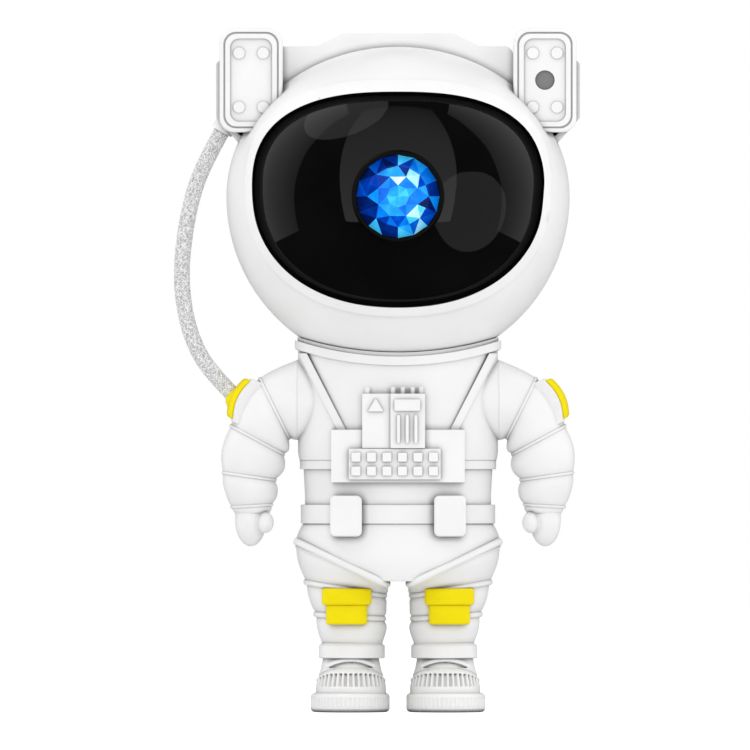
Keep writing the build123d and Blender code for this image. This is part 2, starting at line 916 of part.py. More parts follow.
with BuildPart() as control_board:
    with BuildSketch(front_plane(0, board_bottom + board_height / 2, board_y)):
        RectangleRounded(board_width, board_height, board_corner)
    extrude(amount=-board_thickness)
    with BuildSketch(Plane.XZ.offset(-board_back_y)):
        with Locations(*button_places):
            Rectangle(switch_size, switch_size)
    extrude(amount=-switch_height)
    with BuildSketch(Plane.XZ.offset(-board_back_y)):
        with Locations((0, sensor_z - sensor_radius - board_post_inset)):
            Rectangle(sensor_radius * 2, sensor_radius * 2)
        with Locations((0, button_z - 2 * switch_size)):
            Rectangle(switch_size * 2, switch_size)
    extrude(amount=-board_thickness)
save(control_board.part, "control_board")

inlet_plane = front_plane(0, inlet_z)

with BuildPart() as power_inlet:
    with BuildSketch(inlet_plane.offset(-board_back_y)):
        SlotOverall(inlet_width + 2 * inlet_wall - shell_gap, inlet_height + 2 * inlet_wall - shell_gap)
    extrude(amount=-(inlet_mouth_y - board_back_y))
    with BuildSketch(inlet_plane.offset(-inlet_mouth_y)):
        SlotOverall(inlet_width, inlet_height)
    extrude(amount=inlet_depth, mode=Mode.SUBTRACT)
    with BuildSketch(inlet_plane.offset(-inlet_mouth_y + inlet_depth)):
        Rectangle(inlet_tongue_width, inlet_tongue_height)
    extrude(amount=-(inlet_depth - inlet_wall))
save(power_inlet.part, "power_inlet")

with BuildPart() as sensor_window:
    add(helmet_outside)
    add(helmet_inside, mode=Mode.SUBTRACT)
    with BuildSketch(front_plane(0, sensor_z, board_back_y)):
        Circle(sensor_radius - running_gap)
    extrude(amount=-head_reach, mode=Mode.INTERSECT)
save(sensor_window.part, "sensor_window")

button_cap_y = head_reach - button_icon_height
stem_end_y = switch_top_y + button_travel + button_stem_gap


def push_button(x):
    """A rear push button without its icon: stem, flange and domed cap."""
    with BuildPart() as button:
        with BuildSketch(front_plane(x, button_z, stem_end_y)):
            Circle(button_stem_radius)
        extrude(amount=-(button_flange_y - stem_end_y))
        with BuildSketch(front_plane(x, button_z, button_flange_y)):
            Circle(button_flange_radius)
        extrude(amount=-button_flange_thickness)
        with BuildSketch(front_plane(x, button_z, button_flange_y)):
            Circle(button_radius)
        extrude(amount=-(button_cap_y - button_flange_y))
        fillet(button.edges().group_by(Axis.Y)[-1], button_edge)
    return button.part


nebula_button_body = push_button(-button_spacing / 2)
star_button_body = push_button(button_spacing / 2)

with BuildPart() as nebula_button:
    add(nebula_button_body)
    with BuildSketch(front_plane(-button_spacing / 2, button_z, button_cap_y - button_icon_height)):
        Circle(ring_icon_radius)
        Circle(ring_icon_hole_radius, mode=Mode.SUBTRACT)
        Circle(dot_icon_radius)
    extrude(amount=-2 * button_icon_height)
save(nebula_button.part, "nebula_button")

with BuildPart() as star_button:
    add(star_button_body)
    with BuildSketch(front_plane(button_spacing / 2, button_z, button_cap_y - button_icon_height)):
        star_points = [
            (radius * sin(pi * step / star_icon_points), radius * cos(pi * step / star_icon_points))
            for step, radius in enumerate((star_icon_radius, star_icon_notch_radius) * star_icon_points)
        ]
        with BuildLine():
            Polyline(*star_points, close=True)
        make_face()
    extrude(amount=-2 * button_icon_height)
save(star_button.part, "star_button")

with BuildPart() as head_magnet:
    with BuildSketch(Plane.XY.offset(helmet_centre_z - helmet_radius)):
        Circle(head_magnet_radius)
    extrude(amount=helmet_wall + head_magnet_top)
    add(helmet_inside, mode=Mode.INTERSECT)
save(head_magnet.part, "head_magnet")

# ---------------------------------------------------------------------------------------------------------
# Ear pods, laser and the band over the helmet
# ---------------------------------------------------------------------------------------------------------

ear_inner_x = ear_centre_x - ear_width / 2
ear_panel_y = ear_front_y + ear_panel_depth
ear_pocket_y = ear_panel_y + ear_wall
ear_joint_y = ear_front_y + ear_cover_depth


def ear_outline(inset):
    """Draw the ear cover's rounded outline, drawn in by a distance."""
    RectangleRounded(ear_width - 2 * inset, ear_height - 2 * inset, ear_corner - ear_corner_follow * inset)


def ear_cover(side):
    """One ear pod's front cover, with a groove, a sunk panel and four rivet heads."""
    ear_plane = front_plane(side * ear_centre_x, ear_centre_z, ear_front_y)
    with BuildPart() as cover:
        with BuildSketch(ear_plane):
            ear_outline(0)
        extrude(amount=-ear_cover_depth)
        fillet(cover.edges().group_by(Axis.Y)[0], ear_edge)
        with BuildSketch(ear_plane):
            ear_outline(ear_groove_inset)
            with BuildSketch(mode=Mode.PRIVATE) as groove_inside:
                ear_outline(ear_groove_inset + ear_groove_width)
            add(groove_inside.sketch, mode=Mode.SUBTRACT)
        extrude(amount=-ear_groove_depth, mode=Mode.SUBTRACT)
        with BuildSketch(ear_plane):
            ear_outline(ear_panel_inset)
        extrude(amount=-ear_panel_depth, mode=Mode.SUBTRACT)
        with BuildSketch(ear_plane.offset(-ear_panel_depth)):
            with GridLocations(ear_rivet_spacing_x, ear_rivet_spacing_z, 2, 2):
                Circle(ear_rivet_radius)
        extrude(amount=ear_rivet_height)
        with BuildSketch(ear_plane.offset(-ear_cover_depth)):
            ear_outline(ear_wall)
        extrude(amount=ear_cover_depth - ear_panel_depth - ear_wall, mode=Mode.SUBTRACT)
        add(helmet_outside, mode=Mode.SUBTRACT)
    return cover.part


left_cover_body = ear_cover(-1)
right_cover_body = ear_cover(1)
left_ear_plane = front_plane(-ear_centre_x, ear_centre_z)
right_ear_plane = front_plane(ear_centre_x, ear_centre_z)

with BuildPart() as left_ear_cover:
    add(left_cover_body)
    with BuildSketch(left_ear_plane.offset(-ear_panel_y)):
        Circle(ear_dimple_radius)
    extrude(amount=-ear_dimple_depth, mode=Mode.SUBTRACT)
save(left_ear_cover.part, "left_ear_cover")

with BuildPart() as right_ear_cover:
    add(right_cover_body)
    with BuildSketch(right_ear_plane.offset(-ear_pocket_y)):
        Circle(laser_module_radius + ear_wall)
    extrude(amount=-laser_cradle_length)
    with BuildSketch(right_ear_plane.offset(-ear_pocket_y)):
        Circle(laser_module_radius + running_gap)
    extrude(amount=-laser_cradle_length, mode=Mode.SUBTRACT)
    with BuildSketch(right_ear_plane.offset(-ear_pocket_y)):
        Circle(laser_hole_radius)
    extrude(amount=ear_cover_depth, mode=Mode.SUBTRACT)
save(right_ear_cover.part, "right_ear_cover")

with BuildPart() as laser_window:
    with BuildSketch(right_ear_plane.offset(-ear_pocket_y)):
        Circle(laser_hole_radius - running_gap)
    extrude(amount=laser_window_thickness)
save(laser_window.part, "laser_window")

with BuildPart() as laser_module:
    with BuildSketch(right_ear_plane.offset(-ear_pocket_y)):
        Circle(laser_module_radius)
    extrude(amount=-laser_module_length)
    chamfer(laser_module.edges().group_by(Axis.Y)[-1], motor_corner)
save(laser_module.part, "laser_module")


def housing_corners(side, inset):
    """Corners of an ear housing seen from the front: a box whose outer corners are cut away."""
    inner = ear_inner_x + inset
    outer = ear_housing_reach - inset
    top = ear_housing_top_z - inset
    slant = (ear_housing_reach - ear_housing_bottom_x) / (ear_housing_chamfer_z - ear_housing_bottom_z)
    bottom_x = ear_housing_bottom_x - inset * ear_housing_slant_follow + inset * slant
    corners = [
        (inner, top),
        (outer - (ear_housing_top_z - ear_housing_shoulder_z), top),
        (outer, ear_housing_shoulder_z),
        (outer, ear_housing_chamfer_z),
        (bottom_x, ear_housing_bottom_z + inset),
        (inner, ear_housing_bottom_z + inset),
    ]
    return [(side * across, level) for across, level in corners]


def ear_housing(side):
    """One ear pod's rear housing: an outward-leaning box on the helmet's flank, open at its front."""
    with BuildPart() as housing:
        with BuildSketch(Plane.XZ.offset(-ear_joint_y)):
            with BuildLine():
                Polyline(*housing_corners(side, 0), close=True)
            make_face()
        extrude(amount=-ear_housing_depth)
        fillet(housing.edges().group_by(Axis.Y)[-1], ear_edge)
        with BuildSketch(Plane.XZ.offset(-ear_joint_y)):
            with BuildLine():
                Polyline(*housing_corners(side, ear_housing_wall), close=True)
            make_face()
        extrude(amount=-(ear_housing_depth - ear_housing_wall), mode=Mode.SUBTRACT)
        add(helmet_outside, mode=Mode.SUBTRACT)
    return housing.part


left_housing_body = ear_housing(-1)
right_housing_body = ear_housing(1)

with BuildPart() as right_ear_housing:
    add(right_housing_body)
save(right_ear_housing.part, "right_ear_housing")

with BuildPart() as head_band:
    with BuildSketch(Plane.XZ.offset(-band_front_y)):
        with BuildLine():
            Polyline(
                (-ear_inner_x, helmet_centre_z + helmet_dome_height / 2),
                (-ear_inner_x, ear_housing_top_z),
                (-band_shoulder_half_width, ear_housing_top_z),
                (-band_crown_half_width, band_crown_z),
                (band_crown_half_width, band_crown_z),
                (band_shoulder_half_width, ear_housing_top_z),
                (ear_inner_x, ear_housing_top_z),
                (ear_inner_x, helmet_centre_z + helmet_dome_height / 2),
                close=True,
            )
        make_face()
    extrude(amount=-band_depth)
    fillet(head_band.edges().filter_by(Axis.Y).sort_by(Axis.Z)[-4:], band_corner)
    add(helmet_outside, mode=Mode.SUBTRACT)
save(head_band.part, "head_band")

# ---------------------------------------------------------------------------------------------------------
# Collar, neck swivel and torso shells
# ---------------------------------------------------------------------------------------------------------


def lowered(form, drop):
    """A form moved straight down by a distance."""
    return Pos(0, 0, -drop) * form


def torso_tube(outer, inner):
    """An upright tube with the torso's section, between two half widths."""
    with BuildPart() as tube:
        with BuildSketch(Plane.XY.offset(torso_straight_z)):
            Ellipse(outer, outer * torso_depth_ratio)
            Ellipse(inner, inner * torso_depth_ratio, mode=Mode.SUBTRACT)
        extrude(amount=helmet_centre_z - torso_straight_z)
    return tube.part


collar_height = collar_band_height + collar_lip_height
seat_under_lip = lowered(helmet_seat, collar_lip_height)
seat_under_collar = lowered(helmet_seat, collar_height)
band_tube = torso_tube(collar_half_width, torso_inner_half_width)
lip_tube = torso_tube(collar_lip_half_width, torso_inner_half_width)
below_shoulders = Plane.XY.offset(helmet_centre_z - helmet_radius / 2)

with BuildPart() as collar_lip:
    add(lip_tube)
    add(seat_under_lip, mode=Mode.INTERSECT)
    add(helmet_seat, mode=Mode.SUBTRACT)
    split(bisect_by=below_shoulders, keep=Keep.BOTTOM)

with BuildPart() as collar_ring:
    add(band_tube)
    add(seat_under_collar, mode=Mode.INTERSECT)
    add(seat_under_lip, mode=Mode.SUBTRACT)
    split(bisect_by=below_shoulders, keep=Keep.BOTTOM)
    add(collar_lip.part)
save(collar_ring.part, "collar_ring")

swivel_reach = helmet_centre_z - helmet_radius / 2 - swivel_base_z
neck_plate_bottom_z = neck_plate_top_z - neck_plate_thickness
clip_top_z = neck_plate_bottom_z - neck_plate_inset
torso_inside = torso_form(-torso_wall)
neck_plate_form = torso_form(-torso_wall - neck_plate_inset)

with BuildPart() as neck_plate:
    add(neck_plate_form)
    split(bisect_by=Plane.XY.offset(neck_plate_bottom_z), keep=Keep.TOP)
    split(bisect_by=Plane.XY.offset(neck_plate_top_z), keep=Keep.BOTTOM)
    with BuildSketch(Plane.XY.offset(neck_plate_bottom_z)):
        Circle(spindle_radius + running_gap)
    extrude(amount=neck_plate_thickness, mode=Mode.SUBTRACT)
    for side in (-1, 1):
        with BuildSketch(shoulder_plane.offset(side * (pin_flange_x - shell_gap))):
            Circle(pin_flange_radius + shell_gap)
        extrude(amount=side * pin_flange_radius, mode=Mode.SUBTRACT)
save(neck_plate.part, "neck_plate")

with BuildPart() as neck_swivel:
    with BuildSketch(Plane.XY.offset(swivel_base_z)):
        Circle(swivel_radius)
    extrude(amount=swivel_reach)
    add(helmet_seat, mode=Mode.SUBTRACT)
    split(bisect_by=Plane.XY.offset(helmet_centre_z - helmet_radius / 2), keep=Keep.BOTTOM)
    with BuildSketch(Plane.XY.offset(swivel_base_z)):
        Circle(neck_magnet_radius)
        Circle(neck_magnet_bore, mode=Mode.SUBTRACT)
    extrude(amount=neck_magnet_thickness, mode=Mode.SUBTRACT)
    with BuildSketch(Plane.XY.offset(clip_top_z - clip_thickness)):
        Circle(spindle_radius)
    extrude(amount=swivel_base_z - clip_top_z + clip_thickness)
save(neck_swivel.part, "neck_swivel")

with BuildPart() as neck_magnet:
    with BuildSketch(Plane.XY.offset(swivel_base_z)):
        Circle(neck_magnet_radius - running_gap)
        Circle(neck_magnet_bore + running_gap, mode=Mode.SUBTRACT)
    extrude(amount=neck_magnet_thickness)
save(neck_magnet.part, "neck_magnet")

with BuildPart() as neck_clip:
    with BuildSketch(Plane.XY.offset(clip_top_z - clip_thickness)):
        Circle(clip_radius)
        Circle(spindle_radius + running_gap / 2, mode=Mode.SUBTRACT)
    extrude(amount=clip_thickness)
save(neck_clip.part, "neck_clip")

torso_outside = torso_form(0)
body_screw_places = [
    (side * body_screw_x, level) for side in (-1, 1) for level in (body_screw_low_z, body_screw_high_z)
]

with BuildPart() as torso_whole:
    add(torso_outside)
    with BuildSketch(shoulder_plane):
        Circle(shoulder_radius)
    extrude(amount=shoulder_boss_reach, both=True)
    add(torso_inside, mode=Mode.SUBTRACT)
    add(seat_under_collar, mode=Mode.SUBTRACT)
    with BuildSketch(shoulder_plane):
        Circle(pin_radius + running_gap)
    extrude(amount=shoulder_boss_reach, both=True, mode=Mode.SUBTRACT)
    split(bisect_by=below_shoulders, keep=Keep.BOTTOM)

with BuildPart() as torso_front_shell:
    with BuildSketch(Plane.XZ):
        with Locations(*body_screw_places):
            Circle(body_post_radius)
    extrude(amount=torso_half_width)
    add(torso_inside, mode=Mode.INTERSECT)
    add(torso_whole.part)
    split(bisect_by=Plane.XZ, keep=Keep.TOP)
    with BuildSketch(Plane.XZ):
        with Locations(*body_screw_places):
            Circle(body_screw_radius)
    extrude(amount=body_screw_bite, mode=Mode.SUBTRACT)
save(torso_front_shell.part, "torso_front_shell")

with BuildPart() as torso_rear_shell:
    with BuildSketch(Plane.XZ):
        with Locations(*body_screw_places):
            Circle(body_post_radius)
    extrude(amount=-torso_half_width)
    add(torso_inside, mode=Mode.INTERSECT)
    add(torso_whole.part)
    split(bisect_by=Plane.XZ, keep=Keep.BOTTOM)
    with BuildSketch(Plane.XZ):
        with Locations(*body_screw_places):
            Circle(body_screw_radius + running_gap)
    extrude(amount=-torso_half_width, mode=Mode.SUBTRACT)
    with BuildSketch(Plane.XZ.offset(-body_screw_seat_y)):
        with Locations(*body_screw_places):
            Circle(body_screw_head_radius + shell_gap)
    extrude(amount=-torso_half_width, mode=Mode.SUBTRACT)
save(torso_rear_shell.part, "torso_rear_shell")

with BuildPart() as body_screws:
    with BuildSketch(Plane.XZ.offset(-body_screw_seat_y)):
        with Locations(*body_screw_places):
            Circle(body_screw_head_radius)
    extrude(amount=-body_screw_head_height)
    with BuildSketch(Plane.XZ.offset(-body_screw_seat_y)):
        with Locations(*body_screw_places):
            Circle(body_screw_radius)
    extrude(amount=body_screw_seat_y + body_screw_bite - shell_gap)
    with BuildSketch(Plane.XZ.offset(-body_screw_seat_y - body_screw_head_height)):
        with Locations(*body_screw_places):
            Rectangle(2 * body_screw_radius, screw_slot_width)
            Rectangle(screw_slot_width, 2 * body_screw_radius)
    extrude(amount=body_screw_head_height / 2, mode=Mode.SUBTRACT)
save(body_screws.part, "body_screws")

# ---------------------------------------------------------------------------------------------------------
# Waist ring, belt, hips and legs
# ---------------------------------------------------------------------------------------------------------


def band_form(bottom_z, height, outer, edge):
    """A rounded elliptical slab, as wide as a band round the torso."""
    with BuildPart() as form:
        with BuildSketch(Plane.XY.offset(bottom_z)):
            Ellipse(outer, outer * torso_depth_ratio)
        extrude(amount=height)
        fillet(form.edges(), edge)
    return form.part


waist_band = band_form(waist_ring_z, waist_ring_height, waist_ring_half_width, band_edge)
belt_band = band_form(belt_bottom_z, belt_height, belt_half_width, band_edge)

with BuildPart() as waist_ring:
    add(waist_band)
    with BuildSketch(Plane.XY.offset(waist_ring_z)):
        Ellipse(abdomen_half_width, abdomen_half_width * torso_depth_ratio)
    extrude(amount=waist_ring_height, mode=Mode.SUBTRACT)
save(waist_ring.part, "waist_ring")

with BuildPart() as belt:
    add(belt_band)
    with BuildSketch(Plane.XY.offset(belt_bottom_z)):
        Ellipse(waist_half_width, waist_half_width * torso_depth_ratio)
    extrude(amount=belt_height, mode=Mode.SUBTRACT)
save(belt.part, "belt")

hip_outside = hip_form(0)
hip_inside = hip_form(hip_wall)
thigh_run = (thigh_outer_x - thigh_inner_x, thigh_outer_z - thigh_inner_z)
thigh_centre = ((thigh_outer_x + thigh_inner_x) / 2, (thigh_outer_z + thigh_inner_z) / 2)
thigh_plane = Plane(
    origin=(thigh_centre[0], 0, thigh_centre[1]),
    x_dir=(thigh_run[0], 0, thigh_run[1]),
    z_dir=(thigh_run[1], 0, -thigh_run[0]),
)
left_thigh_plane = Plane(
    origin=(-thigh_centre[0], 0, thigh_centre[1]),
    x_dir=(-thigh_run[0], 0, thigh_run[1]),
    z_dir=(-thigh_run[1], 0, -thigh_run[0]),
)

with BuildPart() as hip_shell:
    add(hip_outside)
    add(hip_inside, mode=Mode.SUBTRACT)
    with BuildSketch(Plane.XY.offset(hip_foot_z)):
        Rectangle(2 * thigh_inner_x, hip_half_width * torso_depth_ratio * 2)
    extrude(amount=crotch_wall_z - hip_foot_z)
    add(hip_outside, mode=Mode.INTERSECT)
    split(bisect_by=thigh_plane, keep=Keep.BOTTOM)
    split(bisect_by=left_thigh_plane, keep=Keep.BOTTOM)
    fillet(hip_shell.edges().group_by(Axis.Z)[0].filter_by(Axis.Y), crotch_radius)
save(hip_shell.part, "hip_shell")


def section_plane(start, end):
    """A plane through two places of the front view, outer place first, square to the line between them."""
    across = (start[0] - end[0], start[1] - end[1])
    middle = ((start[0] + end[0]) / 2, (start[1] + end[1]) / 2)
    return Plane(
        origin=(middle[0], 0, middle[1]),
        x_dir=(across[0], 0, across[1]),
        z_dir=(across[1], 0, -across[0]),
    )


def limb(sections, grow, first=0, last=None):
    """A limb through oval sections, each a pair of places in the front view and a half depth."""
    with BuildPart() as form:
        for start, end, half_depth in sections[first:last]:
            with BuildSketch(section_plane(start, end)):
                half_width = sqrt((start[0] - end[0]) ** 2 + (start[1] - end[1]) ** 2) / 2
                Ellipse(half_width + grow, half_depth + grow)
        loft()
    return form.part


def limb_rib(section, proud, width):
    """A rounded rib round a limb at one of its sections."""
    start, end, half_depth = section
    half_width = sqrt((start[0] - end[0]) ** 2 + (start[1] - end[1]) ** 2) / 2
    with BuildPart() as rib:
        with BuildSketch(section_plane(start, end)):
            Ellipse(half_width + proud, half_depth + proud)
        extrude(amount=width / 2, both=True)
        fillet(rib.edges(), leg_rib_edge)
    return rib.part


# Right leg, from the thigh's slanted opening down to the ankle
leg_sections = [
    (
        (thigh_outer_x - thigh_end_inset, thigh_outer_z),
        (thigh_inner_x + thigh_end_inset, thigh_inner_z),
        thigh_half_depth,
    ),
    ((31.0, 43.2), (3.6, 39.4), 15.6),
    ((28.9, 36.4), (4.2, 35.2), 13.8),
    ((27.5, 31.4), (4.0, 30.8), 12.8),
    ((27.0, 26.5), (4.2, 26.5), 12.4),
    ((25.9, 22.0), (5.0, 22.0), 11.2),
]
leg_outside = limb(leg_sections, 0)
leg_inside = limb(leg_sections, -leg_wall, 1)
leg_ribs = [
    limb_rib(leg_sections[0], thigh_rib_proud, leg_rib_width),
    limb_rib(leg_sections[1], leg_rib_proud, leg_rib_width),
    limb_rib(leg_sections[3], leg_rib_proud, leg_rib_width),
]

with BuildPart() as right_leg:
    add(leg_outside)
    add(leg_ribs)
    split(bisect_by=thigh_plane, keep=Keep.TOP)
    split(bisect_by=Plane.XY.offset(cuff_top_z), keep=Keep.TOP)
    add(leg_inside, mode=Mode.SUBTRACT)
save(right_leg.part, "right_leg")

left_leg_part = mirrored(right_leg.part)
save(left_leg_part, "left_leg")

with BuildPart() as knee_pad:
    with BuildSketch(Plane.XY.offset(knee_middle_z)):
        with Locations((knee_pad_x, (knee_upper_front_y + knee_back_y) / 2)):
            Rectangle(knee_upper_width, knee_back_y - knee_upper_front_y)
    extrude(amount=knee_top_z - knee_middle_z)
    with BuildSketch(Plane.XY.offset(knee_bottom_z)):
        with Locations((knee_pad_x, (knee_lower_front_y + knee_back_y) / 2)):
            Rectangle(knee_lower_width, knee_back_y - knee_lower_front_y)
    extrude(amount=knee_middle_z - knee_bottom_z)
    fillet(knee_pad.faces().sort_by(Axis.Y)[0].edges(), knee_pad_edge)
    add(right_leg.part, mode=Mode.SUBTRACT)
    add(leg_inside, mode=Mode.SUBTRACT)
knee_pads_part = Compound(children=[knee_pad.part, mirrored(knee_pad.part)])
save(knee_pads_part, "knee_pads")

with BuildPart() as ankle_cuff:
    with BuildSketch(Plane.XY.offset(cuff_bottom_z)):
        with Locations((cuff_x, 0)):
            Ellipse(cuff_half_width, cuff_half_depth)
    extrude(amount=cuff_top_z - cuff_bottom_z)
    fillet(ankle_cuff.edges(), cuff_edge)
ankle_cuffs_part = Compound(children=[ankle_cuff.part, mirrored(ankle_cuff.part)])
save(ankle_cuffs_part, "ankle_cuffs")

boot_levels = [
    (sole_height, boot_toe_half_width, boot_toe_half_depth, boot_centre_y),
    (boot_toe_z, boot_toe_half_width, boot_toe_half_depth - boot_toe_lean, boot_centre_y),
    (boot_instep_z, boot_instep_half_width, boot_instep_half_depth, boot_centre_y / 2),
    (cuff_bottom_z, boot_top_half_width, boot_top_half_depth, 0),
]


def boot_form(shrink):
    """The right boot's upper, drawn in by a distance."""
    with BuildPart() as form:
        for level, half_width, half_depth, middle_y in boot_levels:
            with BuildSketch(Plane.XY.offset(level)):
                with Locations((boot_x, middle_y)):
                    Ellipse(half_width - shrink, half_depth - shrink)
        loft()
    return form.part


boot_outside = boot_form(0)
boot_inside = boot_form(boot_wall)
toe_y = boot_centre_y - boot_toe_half_depth

with BuildPart() as right_boot:
    add(boot_outside)
    add(boot_inside, mode=Mode.SUBTRACT)
    with BuildSketch(front_plane(boot_x, (boot_groove_bottom_z + boot_groove_top_z) / 2, toe_y)):
        with GridLocations(boot_groove_pitch, 0, boot_groove_count, 1):
            Rectangle(boot_groove_width, boot_groove_top_z - boot_groove_bottom_z)
    extrude(amount=-(boot_toe_half_depth - boot_instep_half_depth + boot_groove_depth), mode=Mode.SUBTRACT)
save(right_boot.part, "right_boot")

left_boot_part = mirrored(right_boot.part)
save(left_boot_part, "left_boot")

with BuildPart() as sole:
    with BuildSketch(Plane.XY):
        with Locations((sole_x, boot_centre_y)):
            Ellipse(sole_half_width, sole_half_depth)
    extrude(amount=sole_height)
    fillet(sole.edges().group_by(Axis.Z)[-1], sole_edge)
    with BuildSketch(Plane.XY.offset(sole_rib_bottom_z)):
        for step in range(sole_rib_count):
            angle = 2 * pi * step / sole_rib_count
            rib_x = sole_x + sole_half_width * cos(angle)
            rib_y = boot_centre_y + sole_half_depth * sin(angle)
            with Locations((rib_x, rib_y)):
                Circle(sole_rib_radius)
    extrude(amount=sole_rib_height, mode=Mode.SUBTRACT)
soles_part = Compound(children=[sole.part, mirrored(sole.part)])
save(soles_part, "soles")

with BuildPart() as foot_weight:
    with BuildSketch(Plane.XY.offset(sole_height)):
        with Locations((boot_x, 0)):
            Circle(weight_radius)
    extrude(amount=weight_height)
foot_weights_part = Compound(children=[foot_weight.part, mirrored(foot_weight.part)])
save(foot_weights_part, "foot_weights")

# ---------------------------------------------------------------------------------------------------------
# Shoulder pins, arms and shoulder patches
# ---------------------------------------------------------------------------------------------------------

# Right arm, from the shoulder down to the wrist
arm_sections = [
    (
        (shoulder_x, shoulder_z + shoulder_radius),
        (shoulder_x, shoulder_z - shoulder_radius),
        shoulder_half_depth,
    ),
    ((46.2, 111.5), (35.7, 90.4), 12.6),
    ((52.9, 103.2), (36.4, 88.2), 11.8),
    ((55.7, 95.6), (37.9, 85.2), 10.9),
    ((58.6, 86.8), (38.3, 80.6), 10.8),
    ((58.3, 79.4), (40.0, 77.0), 9.8),
    ((58.0, 73.4), (40.3, 72.7), 9.4),
    ((55.7, 67.6), (41.3, 68.8), 7.8),
]


def arm_form(grow, last=None):
    """The arm down to a section, grown by a distance, in two lofts that meet at the elbow."""
    with BuildPart() as form:
        add(limb(arm_sections, grow, 0, elbow_section + 1))
        add(limb(arm_sections, grow, elbow_section, last))
    return form.part


arm_outside = arm_form(0)
arm_inside = arm_form(-arm_wall, -1)
arm_root_x = shoulder_x + arm_wall

with BuildPart() as arm_hollow:
    add(arm_inside)
    split(bisect_by=Plane.YZ.offset(arm_root_x), keep=Keep.TOP)

with BuildPart() as fist:
    Sphere(1)
    scale(by=(hand_half_width, hand_half_depth, hand_half_height))

with BuildPart() as thumb:
    Sphere(1)
    scale(by=(thumb_radius, thumb_radius, thumb_radius * thumb_stretch))

placed_fist = Pos(hand_x, 0, hand_z) * fist.part
placed_thumb = Pos(thumb_x, thumb_y, thumb_z) * thumb.part

with BuildPart() as arm_body:
    add(arm_outside)
    add(arm_hollow.part, mode=Mode.SUBTRACT)
    add(placed_fist)
    add(placed_thumb)
    with BuildSketch(shoulder_plane.offset(shoulder_x)):
        Circle(pin_radius + running_gap)
    extrude(amount=arm_wall, mode=Mode.SUBTRACT)

with BuildPart() as right_arm:
    add(arm_body.part)
save(right_arm.part, "right_arm")

with BuildPart() as left_arm:
    add(mirrored(arm_body.part))
    with BuildSketch(shoulder_plane.offset(-hand_x)):
        Circle(ball_radius + ball_gap)
    extrude(amount=-shoulder_radius, mode=Mode.SUBTRACT)
save(left_arm.part, "left_arm")

patch_base = arm_form(patch_base_thickness)
patch_face = arm_form(patch_thickness)
patch_height = patch_top_z - patch_bottom_z
patch_rise = (patch_top_z + patch_bottom_z) / 2 - shoulder_z

with BuildPart() as patch_base_bar:
    with BuildSketch(shoulder_plane.offset(arm_root_x)):
        with Locations((0, patch_rise)):
            RectangleRounded(2 * patch_half_depth, patch_height, patch_corner)
    extrude(amount=hand_x)
    add(patch_base, mode=Mode.INTERSECT)

with BuildPart() as patch_face_bar:
    with BuildSketch(shoulder_plane.offset(arm_root_x)):
        with Locations((0, patch_rise)):
            RectangleRounded(
                2 * (patch_half_depth - patch_step_inset),
                patch_height - 2 * patch_step_inset,
                patch_corner,
            )
    extrude(amount=hand_x)
    add(patch_face, mode=Mode.INTERSECT)

with BuildPart() as right_shoulder_patch:
    add(patch_base_bar.part)
    add(patch_face_bar.part)
    add(arm_outside, mode=Mode.SUBTRACT)
save(right_shoulder_patch.part, "right_shoulder_patch")

with BuildPart() as left_shoulder_patch:
    add(mirrored(right_shoulder_patch.part))
    with BuildSketch(shoulder_plane.offset(-arm_root_x)):
        Circle(patch_hole_radius)
    extrude(amount=-hand_x, mode=Mode.SUBTRACT)
save(left_shoulder_patch.part, "left_shoulder_patch")

pin_head_x = arm_root_x + shell_gap

with BuildPart() as right_shoulder_pin:
    with BuildSketch(shoulder_plane.offset(pin_flange_x)):
        Circle(pin_flange_radius)
    extrude(amount=shoulder_boss_reach - pin_flange_x)
    add(torso_inside, mode=Mode.INTERSECT)
    with BuildSketch(shoulder_plane.offset(pin_flange_x)):
        Circle(pin_radius)
    extrude(amount=pin_head_x - pin_flange_x)
    with BuildSketch(shoulder_plane.offset(pin_head_x)):
        Circle(pin_head_radius)
    extrude(amount=pin_head_thickness)
save(right_shoulder_pin.part, "right_shoulder_pin")

# ---------------------------------------------------------------------------------------------------------
# Breathing hose, its upper socket, and the ball at the left shoulder that takes its lower end
# ---------------------------------------------------------------------------------------------------------

hose_radius = hose_diameter / 2
ball_centre = Vector(-ball_x, 0, shoulder_z)
lower_direction = (Vector(*hose_route[-1]) - ball_centre).normalized()
hose_foot = ball_centre + lower_direction * ball_pocket_rise
hose_middle = Vector(*hose_route[2]) + (Vector(*hose_route[3]) - Vector(*hose_route[2])) * hose_split
upper_points = [*hose_route[:3], tuple(hose_middle)]
lower_points = [tuple(hose_middle), *hose_route[3:], tuple(hose_foot)]
upper_direction = (Vector(*hose_route[1]) - Vector(*hose_route[0])).normalized()
socket_plane = Plane(origin=hose_route[0], z_dir=upper_direction)
pocket_plane = Plane(origin=hose_foot, z_dir=lower_direction)

with BuildPart() as left_shoulder_pin:
    add(mirrored(right_shoulder_pin.part))
    with BuildSketch(shoulder_plane.offset(-pin_head_x)):
        Circle(ball_neck_radius)
    extrude(amount=-(ball_x - pin_head_x))
    with Locations(ball_centre):
        Sphere(ball_radius)
    split(bisect_by=pocket_plane.offset(ball_pocket_depth), keep=Keep.BOTTOM)
    with BuildSketch(pocket_plane):
        Circle(hose_radius + running_gap)
    extrude(amount=ball_radius, mode=Mode.SUBTRACT)
save(left_shoulder_pin.part, "left_shoulder_pin")

with BuildPart() as hose_socket_upper:
    with BuildSketch(socket_plane.offset(-hose_socket_plug)):
        Circle(hose_radius + hose_socket_wall)
    extrude(amount=hose_socket_plug + hose_socket_reach)
    with BuildSketch(socket_plane):
        Circle(hose_radius + running_gap)
    extrude(amount=hose_socket_reach, mode=Mode.SUBTRACT)
save(hose_socket_upper.part, "hose_socket_upper")

